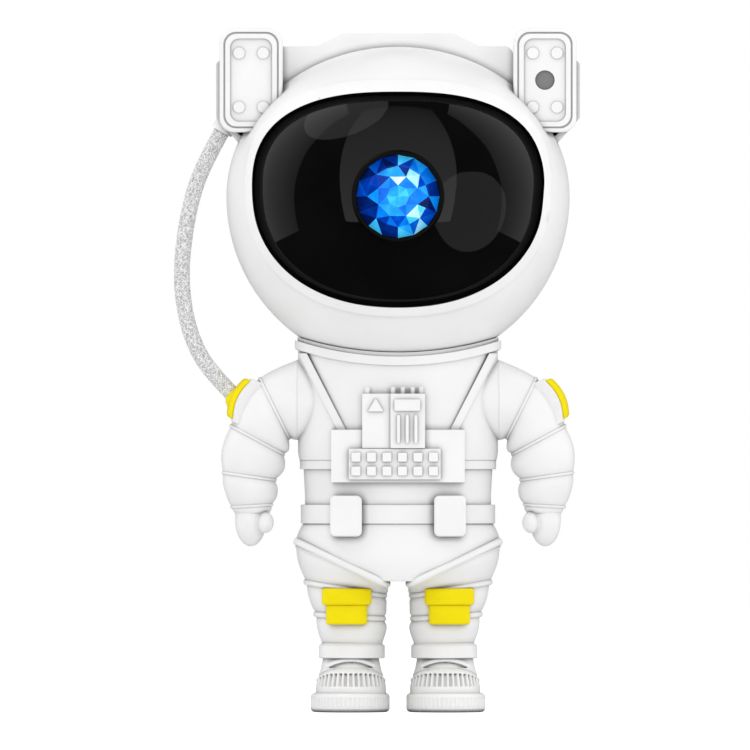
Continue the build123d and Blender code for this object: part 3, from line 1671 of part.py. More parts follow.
with BuildPart() as left_ear_housing:
    add(left_housing_body)
    with BuildSketch(socket_plane.offset(-hose_socket_plug)):
        Circle(hose_radius + hose_socket_wall)
    extrude(amount=hose_socket_plug + hose_socket_reach, mode=Mode.SUBTRACT)
save(left_ear_housing.part, "left_ear_housing")


def bend_radii(points):
    """Bend radii for a run of hose, as large as the shorter straight beside each corner lets them be."""
    radii = []
    for before, corner, after in zip(points, points[1:], points[2:]):
        arriving = Vector(*corner) - Vector(*before)
        leaving = Vector(*after) - Vector(*corner)
        turn = radians(arriving.get_angle(leaving))
        radii.append(hose_bend_share * min(arriving.length, leaving.length) / tan(turn / 2))
    return radii


for label, points in (("hose_upper", upper_points), ("hose_lower", lower_points)):
    with BuildPart() as hose_run:
        with BuildLine():
            run_line = FilletPolyline(*points, radius=bend_radii(points))
        with BuildSketch(Plane(origin=run_line @ 0, z_dir=run_line % 0)):
            Circle(hose_radius)
            Circle(hose_bore / 2, mode=Mode.SUBTRACT)
        sweep()
    save(hose_run.part, label)
    section = pi * (hose_radius**2 - (hose_bore / 2) ** 2)
    print(label, "length", round(run_line.length, 1), "bend radii", [round(r, 1) for r in bend_radii(points)])
    print(label, "volume", round(hose_run.part.volume), "against", round(section * run_line.length))

# ---------------------------------------------------------------------------------------------------------
# Chest unit, straps and belt pouches
# ---------------------------------------------------------------------------------------------------------

key_plate_middle_x = (chest_key_plate_left + chest_key_plate_right) / 2
key_plate_middle_z = (chest_key_plate_bottom_z + chest_key_plate_top_z) / 2
chest_blocks = [
    (-chest_plate_x, chest_plate_x, chest_plate_bottom_z, chest_plate_top_z, chest_plate_front_y),
    (chest_tower_left, chest_tower_right, chest_tower_bottom_z, chest_tower_top_z, chest_tower_front_y),
    (chest_meter_left, chest_tower_right, chest_tower_bottom_z, chest_tower_top_z, chest_meter_front_y),
    (
        chest_key_plate_left,
        chest_key_plate_right,
        chest_key_plate_bottom_z,
        chest_key_plate_top_z,
        chest_key_plate_front_y,
    ),
]

with BuildPart() as chest_box:
    for left, right, bottom, top, front in chest_blocks:
        with Locations(((left + right) / 2, (front + chest_back_y) / 2, (bottom + top) / 2)):
            Box(right - left, chest_back_y - front, top - bottom)
    with BuildSketch(Plane.XY.offset(chest_tower_top_z - chest_peg_root)):
        with Locations(*[(peg_x, chest_peg_y) for peg_x in chest_peg_places]):
            Circle(chest_peg_radius)
    extrude(amount=chest_peg_root + chest_peg_height)
    with BuildSketch(front_plane(key_plate_middle_x, key_plate_middle_z, chest_key_plate_front_y)):
        with GridLocations(chest_key_pitch_x, chest_key_pitch_z, chest_key_columns, chest_key_rows):
            RectangleRounded(chest_key_size, chest_key_size, chest_key_corner)
    extrude(amount=chest_key_height, taper=chest_key_taper)
    with BuildSketch(front_plane(chest_screen_x, chest_screen_z, chest_meter_front_y)):
        RectangleRounded(chest_screen_width, chest_screen_height, chest_key_corner)
        with Locations((0, (chest_slot_bottom_z + chest_slot_top_z) / 2 - chest_screen_z)):
            with GridLocations(chest_slot_pitch, 0, chest_slot_count, 1):
                SlotOverall(chest_slot_top_z - chest_slot_bottom_z, chest_slot_width, rotation=90)
    extrude(amount=chest_relief)
    with BuildSketch(front_plane(chest_triangle_x, chest_triangle_z, chest_tower_front_y)):
        with BuildLine():
            Polyline(
                (-chest_triangle_width / 2, 0),
                (chest_triangle_width / 2, 0),
                (0, chest_triangle_height),
                close=True,
            )
        make_face()
    extrude(amount=chest_relief)
    add(torso_outside, mode=Mode.SUBTRACT)
    add(waist_band, mode=Mode.SUBTRACT)
save(chest_box.part, "chest_box")

with BuildPart() as chest_strap:
    with BuildSketch(Plane.XZ):
        with BuildLine():
            Polyline(
                (strap_top_x - strap_width / 2, strap_top_z),
                (strap_top_x + strap_width / 2, strap_top_z),
                (strap_bottom_x + strap_width / 2, strap_bottom_z),
                (strap_bottom_x - strap_width / 2, strap_bottom_z),
                close=True,
            )
        make_face()
    extrude(amount=torso_half_width)
    add(torso_form(strap_proud), mode=Mode.INTERSECT)
    add(torso_outside, mode=Mode.SUBTRACT)
    add(seat_under_collar, mode=Mode.SUBTRACT)
    split(bisect_by=Plane.XY.offset(chest_plate_top_z), keep=Keep.TOP)
chest_straps_part = Compound(children=[chest_strap.part, mirrored(chest_strap.part)])
save(chest_straps_part, "chest_straps")

with BuildPart() as belt_pouch:
    with BuildSketch(front_plane(pouch_x, pouch_bottom_z + pouch_height / 2, chest_back_y)):
        RectangleRounded(pouch_width, pouch_height, pouch_corner)
    extrude(amount=chest_back_y - pouch_front_y)
    fillet(belt_pouch.faces().sort_by(Axis.Y)[0].edges(), pouch_edge)
    add(torso_outside, mode=Mode.SUBTRACT)
    add(belt_band, mode=Mode.SUBTRACT)
    add(hip_outside, mode=Mode.SUBTRACT)
belt_pouches_part = Compound(children=[belt_pouch.part, mirrored(belt_pouch.part)])
save(belt_pouches_part, "belt_pouches")

# ---------------------------------------------------------------------------------------------------------
# Backpack
# ---------------------------------------------------------------------------------------------------------

pack_middle_z = (pack_bottom_z + pack_top_z) / 2
pack_height = pack_top_z - pack_bottom_z
pack_root_y = -chest_back_y
cover_seat_y = pack_rear_y + pack_cover_proud - pack_cover_thickness
cover_width = 2 * (pack_half_width - pack_cover_inset)
cover_height = pack_height - 2 * pack_cover_inset

with BuildPart() as backpack_shell:
    with BuildSketch(Plane.XZ.offset(-pack_root_y)):
        with Locations((0, pack_middle_z)):
            RectangleRounded(2 * pack_half_width, pack_height, pack_corner)
    extrude(amount=-(pack_rear_y - pack_root_y))
    fillet(backpack_shell.faces().sort_by(Axis.Y)[-1].edges(), pack_edge)
    with BuildSketch(Plane.XZ.offset(-pack_root_y)):
        with Locations((0, pack_middle_z)):
            RectangleRounded(
                2 * (pack_half_width - pack_wall), pack_height - 2 * pack_wall, pack_corner - pack_wall
            )
    extrude(amount=-(cover_seat_y - pack_wall - pack_root_y), mode=Mode.SUBTRACT)
    with BuildSketch(Plane.XZ.offset(-cover_seat_y)):
        with Locations((0, pack_middle_z)):
            RectangleRounded(cover_width, cover_height, pack_corner - pack_wall)
    extrude(amount=-pack_cover_thickness, mode=Mode.SUBTRACT)
    add(torso_outside, mode=Mode.SUBTRACT)
    add(waist_band, mode=Mode.SUBTRACT)
save(backpack_shell.part, "backpack_shell")

with BuildPart() as backpack_cover:
    with BuildSketch(Plane.XZ.offset(-cover_seat_y)):
        with Locations((0, pack_middle_z)):
            RectangleRounded(cover_width, cover_height, pack_corner - pack_wall)
    extrude(amount=-pack_cover_thickness)
    fillet(backpack_cover.faces().sort_by(Axis.Y)[-1].edges(), pack_cover_edge)
save(backpack_cover.part, "backpack_cover")
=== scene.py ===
# %% [markdown]
# # A star projector in the form of an astronaut
#
# The projector stands on a desk and throws stars and a moving nebula through the lens in its visor.
# Its shells are moulded in white plastic, the visor is polished black, and the hose is a braided sleeve.
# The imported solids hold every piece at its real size. This lesson gives each of them its finish, and
# models again the pieces whose surface needs more than a plain solid shows.

import json
from math import cos, exp, pi, radians, sin, sqrt

import bmesh
import bpy
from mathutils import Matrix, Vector

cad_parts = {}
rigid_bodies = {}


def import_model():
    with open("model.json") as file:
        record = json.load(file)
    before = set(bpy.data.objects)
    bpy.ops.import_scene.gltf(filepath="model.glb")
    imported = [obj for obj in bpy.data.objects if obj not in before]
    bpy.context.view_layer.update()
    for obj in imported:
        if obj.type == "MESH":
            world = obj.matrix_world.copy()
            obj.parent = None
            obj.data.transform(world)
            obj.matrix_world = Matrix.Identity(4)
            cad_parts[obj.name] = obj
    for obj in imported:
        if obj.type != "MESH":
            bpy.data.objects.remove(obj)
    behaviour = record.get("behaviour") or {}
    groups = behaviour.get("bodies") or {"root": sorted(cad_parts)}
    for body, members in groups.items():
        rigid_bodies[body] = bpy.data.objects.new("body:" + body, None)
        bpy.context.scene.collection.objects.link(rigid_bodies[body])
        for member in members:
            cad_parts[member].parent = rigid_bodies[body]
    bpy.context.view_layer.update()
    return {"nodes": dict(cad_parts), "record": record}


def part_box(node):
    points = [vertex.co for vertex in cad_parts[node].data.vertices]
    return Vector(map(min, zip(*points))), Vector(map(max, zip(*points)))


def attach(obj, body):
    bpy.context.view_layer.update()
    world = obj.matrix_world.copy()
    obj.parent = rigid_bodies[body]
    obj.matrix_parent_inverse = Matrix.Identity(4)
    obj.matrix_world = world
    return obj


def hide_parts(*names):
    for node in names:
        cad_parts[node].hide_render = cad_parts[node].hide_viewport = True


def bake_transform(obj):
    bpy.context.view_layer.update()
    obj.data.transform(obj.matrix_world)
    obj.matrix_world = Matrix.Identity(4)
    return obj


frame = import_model()
bodies = frame["record"]["behaviour"]["bodies"]
body_of = {node: body for body, nodes in bodies.items() for node in nodes}
mm = 0.001

# %% [markdown]
# ## Camera
#
# The figure is seen straight from the front, from about half its height. A very long lens ten metres away
# keeps the proportions those of a drawing. A picture 750 pixels wide shows 250 millimetres there.

# %% Camera
picture_pixels = 750
pixels_per_mm = 3
picture_width = picture_pixels / pixels_per_mm * mm
camera_distance = 10.0
camera_height = 112.3 * mm
axis_pixel = 398
sensor_width = 36

camera_data = bpy.data.cameras.new("camera")
camera = bpy.data.objects.new("camera", camera_data)
bpy.context.scene.collection.objects.link(camera)
camera.location = (0, -camera_distance, camera_height)
camera.rotation_euler = (radians(90), 0, 0)
camera_data.sensor_width = sensor_width
camera_data.lens = sensor_width * camera_distance / picture_width
camera_data.shift_x = (picture_pixels / 2 - axis_pixel) / picture_pixels
camera_data.clip_end = 4 * camera_distance
bpy.context.scene.camera = camera
print("focal length", round(camera_data.lens), "mm")

# %% [markdown]
# ## Helpers
#
# Blender's operators act on whatever is selected, so each step starts by selecting one object only.

# %% Helpers


def select_only(piece):
    """Deselects everything, then selects one object and makes it active."""
    for other in bpy.context.view_layer.objects:
        other.select_set(False)
    piece.select_set(True)
    bpy.context.view_layer.objects.active = piece


def smooth(piece, angle=35):
    """Shades a piece smooth, and keeps edges sharper than an angle crisp."""
    select_only(piece)
    bpy.ops.object.shade_smooth_by_angle(angle=radians(angle))


def apply_modifiers(piece):
    """Makes a piece's modifiers part of its mesh."""
    select_only(piece)
    for modifier in list(piece.modifiers):
        bpy.ops.object.modifier_apply(modifier=modifier.name)


def joined(pieces):
    """One object from several, named after the first."""
    select_only(pieces[0])
    for piece in pieces[1:]:
        piece.select_set(True)
    if len(pieces) > 1:
        bpy.ops.object.join()
    return pieces[0]


def settle(piece, body, material):
    """Puts a finished piece's place into its mesh, and gives it its body, if it has one, and its material."""
    select_only(piece)
    bpy.ops.object.transform_apply(location=True, rotation=True, scale=True)
    piece.data.materials.clear()
    piece.data.materials.append(material)
    if body:
        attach(piece, body)
    return piece


def as_piece(name, shape, angle):
    """Makes a mesh under construction an object, with its faces outwards and smooth shading."""
    bmesh.ops.recalc_face_normals(shape, faces=shape.faces)
    mesh = bpy.data.meshes.new(name)
    shape.to_mesh(mesh)
    shape.free()
    piece = bpy.data.objects.new(name, mesh)
    bpy.context.scene.collection.objects.link(piece)
    smooth(piece, angle)
    return piece


# %% [markdown]
# ## Materials
#
# Moulded plastic is never one flat colour. The steel mould leaves a very fine texture, and the surface has
# slow waves a few millimetres long that only a reflection shows. Where two faces meet, shade is painted into
# the colour.
# Each finish is built from the same few parts: a colour that two noises vary, a roughness of its own,
# a bump for the mould's texture, and an ambient occlusion node that paints shade into the creases.

# %% Node helpers


def new_material(name):
    """An empty node material with its Principled shader."""
    material = bpy.data.materials.new(name)
    material.use_nodes = True
    nodes = material.node_tree.nodes
    shader = next(node for node in nodes if node.type == "BSDF_PRINCIPLED")
    return material, nodes, material.node_tree.links, shader


def object_noise(nodes, links, scale, detail=3.0):
    """A noise on Object coordinates, so that it stays on the piece as it moves."""
    place = nodes.new("ShaderNodeTexCoord")
    noise = nodes.new("ShaderNodeTexNoise")
    noise.inputs["Scale"].default_value = scale
    noise.inputs["Detail"].default_value = detail
    links.new(place.outputs["Object"], noise.inputs["Vector"])
    return noise.outputs["Fac"]


def colour_ramp(nodes, links, value, low, high, start=0.35, end=0.65):
    """A ramp from one colour to another as a value goes from start to end."""
    ramp = nodes.new("ShaderNodeValToRGB")
    ramp.color_ramp.elements[0].position = start
    ramp.color_ramp.elements[0].color = (*low, 1)
    ramp.color_ramp.elements[1].position = end
    ramp.color_ramp.elements[1].color = (*high, 1)
    links.new(value, ramp.inputs["Fac"])
    return ramp.outputs["Color"]


def value_range(nodes, links, value, low, high):
    """A value spread over another range."""
    spread = nodes.new("ShaderNodeMapRange")
    spread.inputs["To Min"].default_value = low
    spread.inputs["To Max"].default_value = high
    links.new(value, spread.inputs["Value"])
    return spread.outputs["Result"]


def add_bump(nodes, links, shader, height, strength, distance):
    """A bump from a height, in metres, after any bump that is already there."""
    bump = nodes.new("ShaderNodeBump")
    bump.inputs["Strength"].default_value = strength
    bump.inputs["Distance"].default_value = distance
    links.new(height, bump.inputs["Height"])
    for link in list(shader.inputs["Normal"].links):
        links.new(link.from_socket, bump.inputs["Normal"])
    links.new(bump.outputs["Normal"], shader.inputs["Normal"])


# Painted shade is full where a crease's ambient occlusion is below the first level, and gone above the
# second.
crease_samples = 6
full_shade_at = 0.3
no_shade_above = 0.92
mix_painted_shade, mix_unshaded, mix_result = 6, 7, 2


def crease_shaded(nodes, links, unshaded, crease_shade, reach):
    """A colour that turns towards a painted shade within creases as deep as a reach."""
    crease = nodes.new("ShaderNodeAmbientOcclusion")
    crease.samples = crease_samples
    crease.inputs["Distance"].default_value = reach
    depth = nodes.new("ShaderNodeMapRange")
    depth.inputs["From Min"].default_value = full_shade_at
    depth.inputs["From Max"].default_value = no_shade_above
    links.new(crease.outputs["AO"], depth.inputs["Value"])
    mix = nodes.new("ShaderNodeMix")
    mix.data_type = "RGBA"
    mix.inputs[mix_painted_shade].default_value = (*crease_shade, 1)
    links.new(depth.outputs["Result"], mix.inputs[0])
    links.new(unshaded, mix.inputs[mix_unshaded])
    return mix.outputs[mix_result]


tone_scale = 60
polish_scale = 220
wave_scale = 90
wave_height = 0.05 * mm
# The ambient occlusion's reach, within which creases get painted shade.
shade_reach = 2.5 * mm


def moulded(name, colour, shade, crease_shade, rough, grain, grain_height):
    """Moulded plastic: two close shades, painted shade in the creases, the mould's fine grain and slow waves.
    """
    material, nodes, links, shader = new_material(name)
    unshaded = colour_ramp(nodes, links, object_noise(nodes, links, tone_scale), shade, colour)
    links.new(crease_shaded(nodes, links, unshaded, crease_shade, shade_reach), shader.inputs["Base Color"])
    polish = value_range(nodes, links, object_noise(nodes, links, polish_scale), *rough)
    links.new(polish, shader.inputs["Roughness"])
    waves = object_noise(nodes, links, wave_scale, detail=1.0)
    texture = object_noise(nodes, links, grain)
    add_bump(nodes, links, shader, waves, strength=0.25, distance=wave_height)
    add_bump(nodes, links, shader, texture, strength=0.5, distance=grain_height)
    return material


# %% Plastics
# Each plastic has its colour, a second tone that a noise mixes in, and the painted shade of its creases.
white = (0.87, 0.87, 0.87)
white_shade = (0.84, 0.84, 0.845)
white_crease_shade = (0.26, 0.26, 0.26)
white_plastic = moulded("white_plastic", white, white_shade, white_crease_shade, (0.34, 0.46), 2600, 0.012 * mm)

yellow = (0.88, 0.73, 0.0)
yellow_shade = (0.84, 0.68, 0.0)
yellow_crease_shade = (0.5, 0.36, 0.0)
yellow_plastic = moulded("yellow_plastic", yellow, yellow_shade, yellow_crease_shade, (0.4, 0.55), 2200, 0.02 * mm)
yellow_plastic.node_tree.nodes["Principled BSDF"].inputs["Specular IOR Level"].default_value = 0.12

grey = (0.5, 0.5, 0.51)
grey_shade = (0.46, 0.46, 0.47)
grey_crease_shade = (0.2, 0.2, 0.2)
grey_plastic = moulded("grey_plastic", grey, grey_shade, grey_crease_shade, (0.4, 0.5), 2600, 0.012 * mm)

ivory = (0.78, 0.77, 0.72)
ivory_shade = (0.74, 0.73, 0.68)
ivory_crease_shade = (0.4, 0.4, 0.38)
nylon = moulded("nylon", ivory, ivory_shade, ivory_crease_shade, (0.35, 0.45), 1800, 0.01 * mm)

smoke = (0.21, 0.21, 0.21)
smoke_shade = (0.19, 0.19, 0.19)
smoke_crease_shade = (0.08, 0.08, 0.08)
window_grey = moulded("window_grey", smoke, smoke_shade, smoke_crease_shade, (0.15, 0.25), 1500, 0.004 * mm)
print("plastics:", [m.name for m in (white_plastic, yellow_plastic, grey_plastic, nylon, window_grey)])

# %% [markdown]
# The visor is polished black plastic. It shows the studio's lamps sharply, and only the finest wiping
# marks break its gloss. The ring round the lens and the gasket are black too, but duller.

# %% Blacks


def polished_black(name, colour, rough, level, scratch):
    """Black plastic whose roughness varies where it has been wiped."""
    material, nodes, links, shader = new_material(name)
    wiped = object_noise(nodes, links, 45, detail=6.0)
    wiped_colour = tuple(1.6 * part for part in colour)
    links.new(colour_ramp(nodes, links, wiped, colour, wiped_colour), shader.inputs["Base Color"])
    links.new(value_range(nodes, links, wiped, *rough), shader.inputs["Roughness"])
    shader.inputs["Specular IOR Level"].default_value = level
    marks = object_noise(nodes, links, 900, detail=2.0)
    add_bump(nodes, links, shader, marks, strength=scratch, distance=0.004 * mm)
    return material


gloss = (0.0016, 0.0016, 0.0018)
soot = (0.001, 0.001, 0.001)
visor_black = polished_black("visor_black", gloss, rough=(0.015, 0.05), level=0.42, scratch=0.05)
satin_black = polished_black("satin_black", soot, rough=(0.3, 0.42), level=0.12, scratch=0.4)
rubber_black = polished_black("rubber_black", soot, rough=(0.45, 0.6), level=0.1, scratch=0.8)
print("blacks:", [m.name for m in (visor_black, satin_black, rubber_black)])

# %% [markdown]
# Metal parts are few: screws, the inlet's shell, the heat sink and the motor inside the head. A noise
# stretched along one axis gives the fine lines that turning or rolling leaves.

# %% Metals


def metal(name, colour, rough, stretch):
    """Metal with fine lines, which a noise stretched by three factors draws."""
    material, nodes, links, shader = new_material(name)
    place = nodes.new("ShaderNodeTexCoord")
    mapping = nodes.new("ShaderNodeMapping")
    mapping.inputs["Scale"].default_value = stretch
    links.new(place.outputs["Object"], mapping.inputs["Vector"])
    lines = nodes.new("ShaderNodeTexNoise")
    lines.inputs["Scale"].default_value = 1.0
    lines.inputs["Detail"].default_value = 4.0
    links.new(mapping.outputs["Vector"], lines.inputs["Vector"])
    darker = tuple(0.8 * part for part in colour)
    height = lines.outputs["Fac"]
    links.new(colour_ramp(nodes, links, height, darker, colour), shader.inputs["Base Color"])
    links.new(value_range(nodes, links, height, *rough), shader.inputs["Roughness"])
    shader.inputs["Metallic"].default_value = 1.0
    add_bump(nodes, links, shader, height, strength=0.3, distance=0.01 * mm)
    return material


screw_steel = metal("screw_steel", (0.5, 0.5, 0.5), (0.25, 0.45), (3000, 3000, 400))
bright_steel = metal("bright_steel", (0.68, 0.68, 0.68), (0.2, 0.35), (3000, 300, 3000))
magnet_nickel = metal("magnet_nickel", (0.6, 0.59, 0.57), (0.15, 0.3), (900, 900, 900))
aluminium = metal("aluminium", (0.72, 0.73, 0.74), (0.3, 0.45), (300, 300, 3000))
turned_brass = metal("turned_brass", (0.72, 0.53, 0.22), (0.2, 0.35), (200, 4000, 200))
cast_iron = metal("cast_iron", (0.2, 0.2, 0.2), (0.5, 0.75), (700, 700, 700))
print("metals ready")

# %% [markdown]
# Glass and the circuit boards. The boards' green mask lets the copper tracks show as slightly raised,
# lighter lines, which a brick pattern gives without any drawing on them.

# %% Glass and boards


def clear_glass(name, colour, roughness, ripple, ripple_height):
    """Tinted glass with a rippled or plain face."""
    material, nodes, links, shader = new_material(name)
    shader.inputs["Transmission Weight"].default_value = 1.0
    shader.inputs["IOR"].default_value = 1.5
    paler = tuple(min(1.0, 1.04 * part) for part in colour)
    tint = colour_ramp(nodes, links, object_noise(nodes, links, 30), colour, paler)
    links.new(tint, shader.inputs["Base Color"])
    shader.inputs["Roughness"].default_value = roughness
    waves = object_noise(nodes, links, ripple, detail=2.0)
    add_bump(nodes, links, shader, waves, strength=0.6, distance=ripple_height)
    return material


def circuit_board(name):
    """Green solder mask over copper tracks."""
    material, nodes, links, shader = new_material(name)
    place = nodes.new("ShaderNodeTexCoord")
    tracks = nodes.new("ShaderNodeTexBrick")
    tracks.inputs["Scale"].default_value = 260
    tracks.inputs["Mortar Size"].default_value = 0.06
    tracks.inputs["Color1"].default_value = (0.01, 0.09, 0.035, 1)
    tracks.inputs["Color2"].default_value = (0.012, 0.11, 0.045, 1)
    tracks.inputs["Mortar"].default_value = (0.03, 0.2, 0.09, 1)
    mapping = nodes.new("ShaderNodeMapping")
    mapping.inputs["Rotation"].default_value = (radians(90), 0, 0)
    links.new(place.outputs["Object"], mapping.inputs["Vector"])
    links.new(mapping.outputs["Vector"], tracks.inputs["Vector"])
    links.new(tracks.outputs["Color"], shader.inputs["Base Color"])
    sheen = value_range(nodes, links, object_noise(nodes, links, 400), 0.2, 0.35)
    links.new(sheen, shader.inputs["Roughness"])
    add_bump(nodes, links, shader, tracks.outputs["Fac"], strength=0.4, distance=0.03 * mm)
    return material


rippled_glass = clear_glass(
    "rippled_glass", (0.82, 0.9, 0.93), roughness=0.05, ripple=260, ripple_height=0.4 * mm
)
board_green = circuit_board("board_green")
print("glass and boards ready")

# %% [markdown]
# The hose's sleeve is braided from flat polyester strands, half of them wound to the left and half to
# the right, each passing over one strand and under the next. The strands are real geometry further down,
# so this finish gives the fibre: pale grey, a little shiny, with fine threads along its length, and painted
# shade in the gaps.

# %% Braid fibre


def fibre(name, low, high):
    """Polyester fibre with fine threads, a weak sheen, and painted shade in the gaps between strands."""
    material, nodes, links, shader = new_material(name)
    threads = object_noise(nodes, links, 1500, detail=4.0)
    worn = colour_ramp(nodes, links, threads, low, high)
    # The gaps between strands take a painted shade, darker than the fibre.
    gap_shade = tuple(0.35 * part for part in low)
    links.new(crease_shaded(nodes, links, worn, gap_shade, 0.8 * mm), shader.inputs["Base Color"])
    links.new(value_range(nodes, links, threads, 0.4, 0.65), shader.inputs["Roughness"])
    shader.inputs["Sheen Weight"].default_value = 0.25
    add_bump(nodes, links, shader, threads, strength=0.7, distance=0.05 * mm)
    return material


braid_grey = fibre("braid_grey", (0.42, 0.42, 0.42), (0.95, 0.95, 0.95))
print("fibre ready")

# %% [markdown]
# ## The breathing hose
#
# The hose leaves the socket under the left ear pod, bows outwards and ends in the ball of the left
# shoulder. Its route is a few listed points, and a NURBS line through them is smooth everywhere.
# The head turns and tilts, so the hose is two pieces that meet half way.

# %% Hose route
hose_diameter = 5.4 * mm
ball_centre = Vector((-53.2, 0, 104)) * mm
ball_pocket_rise = 0.8 * mm
hose_split = 0.45
hose_route = [
    Vector(point) * mm
    for point in (
        (-57.9, 4.0, 195.0),
        (-64.4, 4.6, 183.5),
        (-69.2, 5.4, 170.5),
        (-72.5, 5.6, 150.0),
        (-71.4, 4.8, 133.5),
        (-67.2, 3.2, 120.5),
        (-61.0, 1.4, 111.7),
    )
]
hose_foot = ball_centre + (hose_route[-1] - ball_centre).normalized() * ball_pocket_rise
hose_middle = hose_route[2].lerp(hose_route[3], hose_split)
upper_route = [*hose_route[:3], hose_middle]
lower_route = [hose_middle, *hose_route[3:], hose_foot]


def route_line(points, steps_per_run):
    """Points along the smooth NURBS line of a route."""
    curve = bpy.data.curves.new("route", "CURVE")
    curve.dimensions = "3D"
    spline = curve.splines.new("NURBS")
    spline.points.add(len(points) - 1)
    for target, point in zip(spline.points, points):
        target.co = (*point, 1)
    spline.order_u = 3
    spline.use_endpoint_u = True
    spline.resolution_u = steps_per_run
    holder = bpy.data.objects.new("route", curve)
    bpy.context.scene.collection.objects.link(holder)
    line = [vertex.co.copy() for vertex in bpy.data.meshes.new_from_object(holder).vertices]
    bpy.data.objects.remove(holder)
    return line


def run_length(line):
    """The length of a line of points."""
    return sum((b - a).length for a, b in zip(line, line[1:]))


upper_line = route_line(upper_route, 60)
lower_line = route_line(lower_route, 60)
print("hose runs", round(run_length(upper_line) / mm), "and", round(run_length(lower_line) / mm), "mm")

# %% [markdown]
# Each strand is a helix round that line. Where it crosses a strand of the other direction it rises or
# dips by half its thickness, and neighbours do so in turn, which makes the braid's small diamonds.

# %% Braided sleeve
strands_each_way = 14
strand_half_width = 0.33 * mm
strand_half_height = 0.13 * mm
weave_lift = 0.12 * mm
sleeve_radius = hose_diameter / 2 - strand_half_height - weave_lift / 2
core_radius = sleeve_radius - 0.25 * mm
core_sides = 16
steps_per_crossing = 4
helix_pitch = 2 * pi * sleeve_radius


def resampled(line, count):
    """The same line as evenly spaced points, each with its direction."""
    lengths = [0.0]
    for a, b in zip(line, line[1:]):
        lengths.append(lengths[-1] + (b - a).length)
    points = []
    index = 0
    for step in range(count + 1):
        target = lengths[-1] * step / count
        while index < len(line) - 2 and lengths[index + 1] < target:
            index += 1
        share = (target - lengths[index]) / (lengths[index + 1] - lengths[index])
        start, end = line[index], line[index + 1]
        points.append((start.lerp(end, share), (end - start).normalized(), target))
    return points


def add_tube(shape, rings):
    """Joins rings of vertices into a closed tube."""
    for ring, following in zip(rings, rings[1:]):
        for i in range(len(ring)):
            j = (i + 1) % len(ring)
            shape.faces.new((ring[i], ring[j], following[j], following[i]))
    shape.faces.new(reversed(rings[0]))
    shape.faces.new(rings[-1])


def braided(name, line, start_length):
    """A core and its braid along a line, whose pattern starts at a length so that two runs match."""
    crossing = helix_pitch / (2 * strands_each_way)
    points = resampled(line, round(run_length(line) / crossing * steps_per_crossing))
    shape = bmesh.new()
    frames = []
    for place, along, length in points:
        outward = along.cross(Vector((0, 1, 0))).normalized()
        frames.append((place, along, outward, along.cross(outward), start_length + length))
    core = []
    for place, along, outward, sideways, length in frames[::steps_per_crossing] + frames[-1:]:
        ring = []
        for k in range(core_sides):
            turn = 2 * pi * k / core_sides
            spoke = cos(turn) * outward + sin(turn) * sideways
            ring.append(shape.verts.new(place + core_radius * spoke))
        core.append(ring)
    add_tube(shape, core)
    for way in (-1, 1):
        for strand in range(strands_each_way):
            rings = []
            for place, along, outward, sideways, length in frames:
                turn = 2 * pi * (way * length / helix_pitch + strand / strands_each_way)
                around = cos(turn) * outward + sin(turn) * sideways
                radius = sleeve_radius + weave_lift / 2 * way * cos(pi * length / crossing)
                heading = (along + way * along.cross(around)).normalized()
                across = heading.cross(around).normalized()
                centre = place + radius * around
                side_step = across * strand_half_width
                height_step = around * strand_half_height
                corners = (side_step, height_step, -side_step, -height_step)
                rings.append([shape.verts.new(centre + corner) for corner in corners])
            add_tube(shape, rings)
    return as_piece(name, shape, 60)


hose_upper = braided("hose_upper_braid", upper_line, 0)
hose_lower = braided("hose_lower_braid", lower_line, run_length(upper_line))
for run in (hose_upper, hose_lower):
    settle(run, None, braid_grey)
print("braid:", len(hose_upper.data.polygons), "and", len(hose_lower.data.polygons), "faces")

# %% [markdown]
# Each piece stands for the hose solid of its name, which is hidden, and its place is put into its mesh.

# %% Hose pieces
for piece, line, route, ends, node in (
    (hose_upper, upper_line, upper_route, ("neck", "head"), "hose_upper"),
    (hose_lower, lower_line, lower_route, ("torso", "neck"), "hose_lower"),
):
    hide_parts(node)
    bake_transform(piece)

# %% [markdown]
# ## Carried-over solids
#
# Most pieces already have the right shape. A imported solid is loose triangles, so a smooth gloss would show
# every one of them. Modelling each again would take long, and a copy is enough: its stored normals are
# cleared, its doubled points merged, and it is shaded smooth up to an angle. Then it stands for the solid.

# %% Dressing a solid
weld_distance = 0.01 * mm


def dressed(node, material, angle=30):
    """A smooth copy of a solid with its finish, which stands for the solid."""
    mesh = frame["nodes"][node].data.copy()
    piece = bpy.data.objects.new(f"{node}_skin", mesh)
    bpy.context.scene.collection.objects.link(piece)
    select_only(piece)
    bpy.ops.mesh.customdata_custom_splitnormals_clear()
    bpy.ops.object.mode_set(mode="EDIT")
    bpy.ops.mesh.select_all(action="SELECT")
    bpy.ops.mesh.remove_doubles(threshold=weld_distance)
    bpy.ops.mesh.dissolve_degenerate(threshold=weld_distance)
    bpy.ops.object.mode_set(mode="OBJECT")
    smooth(piece, angle)
    settle(piece, body_of[node], material)
    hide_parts(node)
    return piece


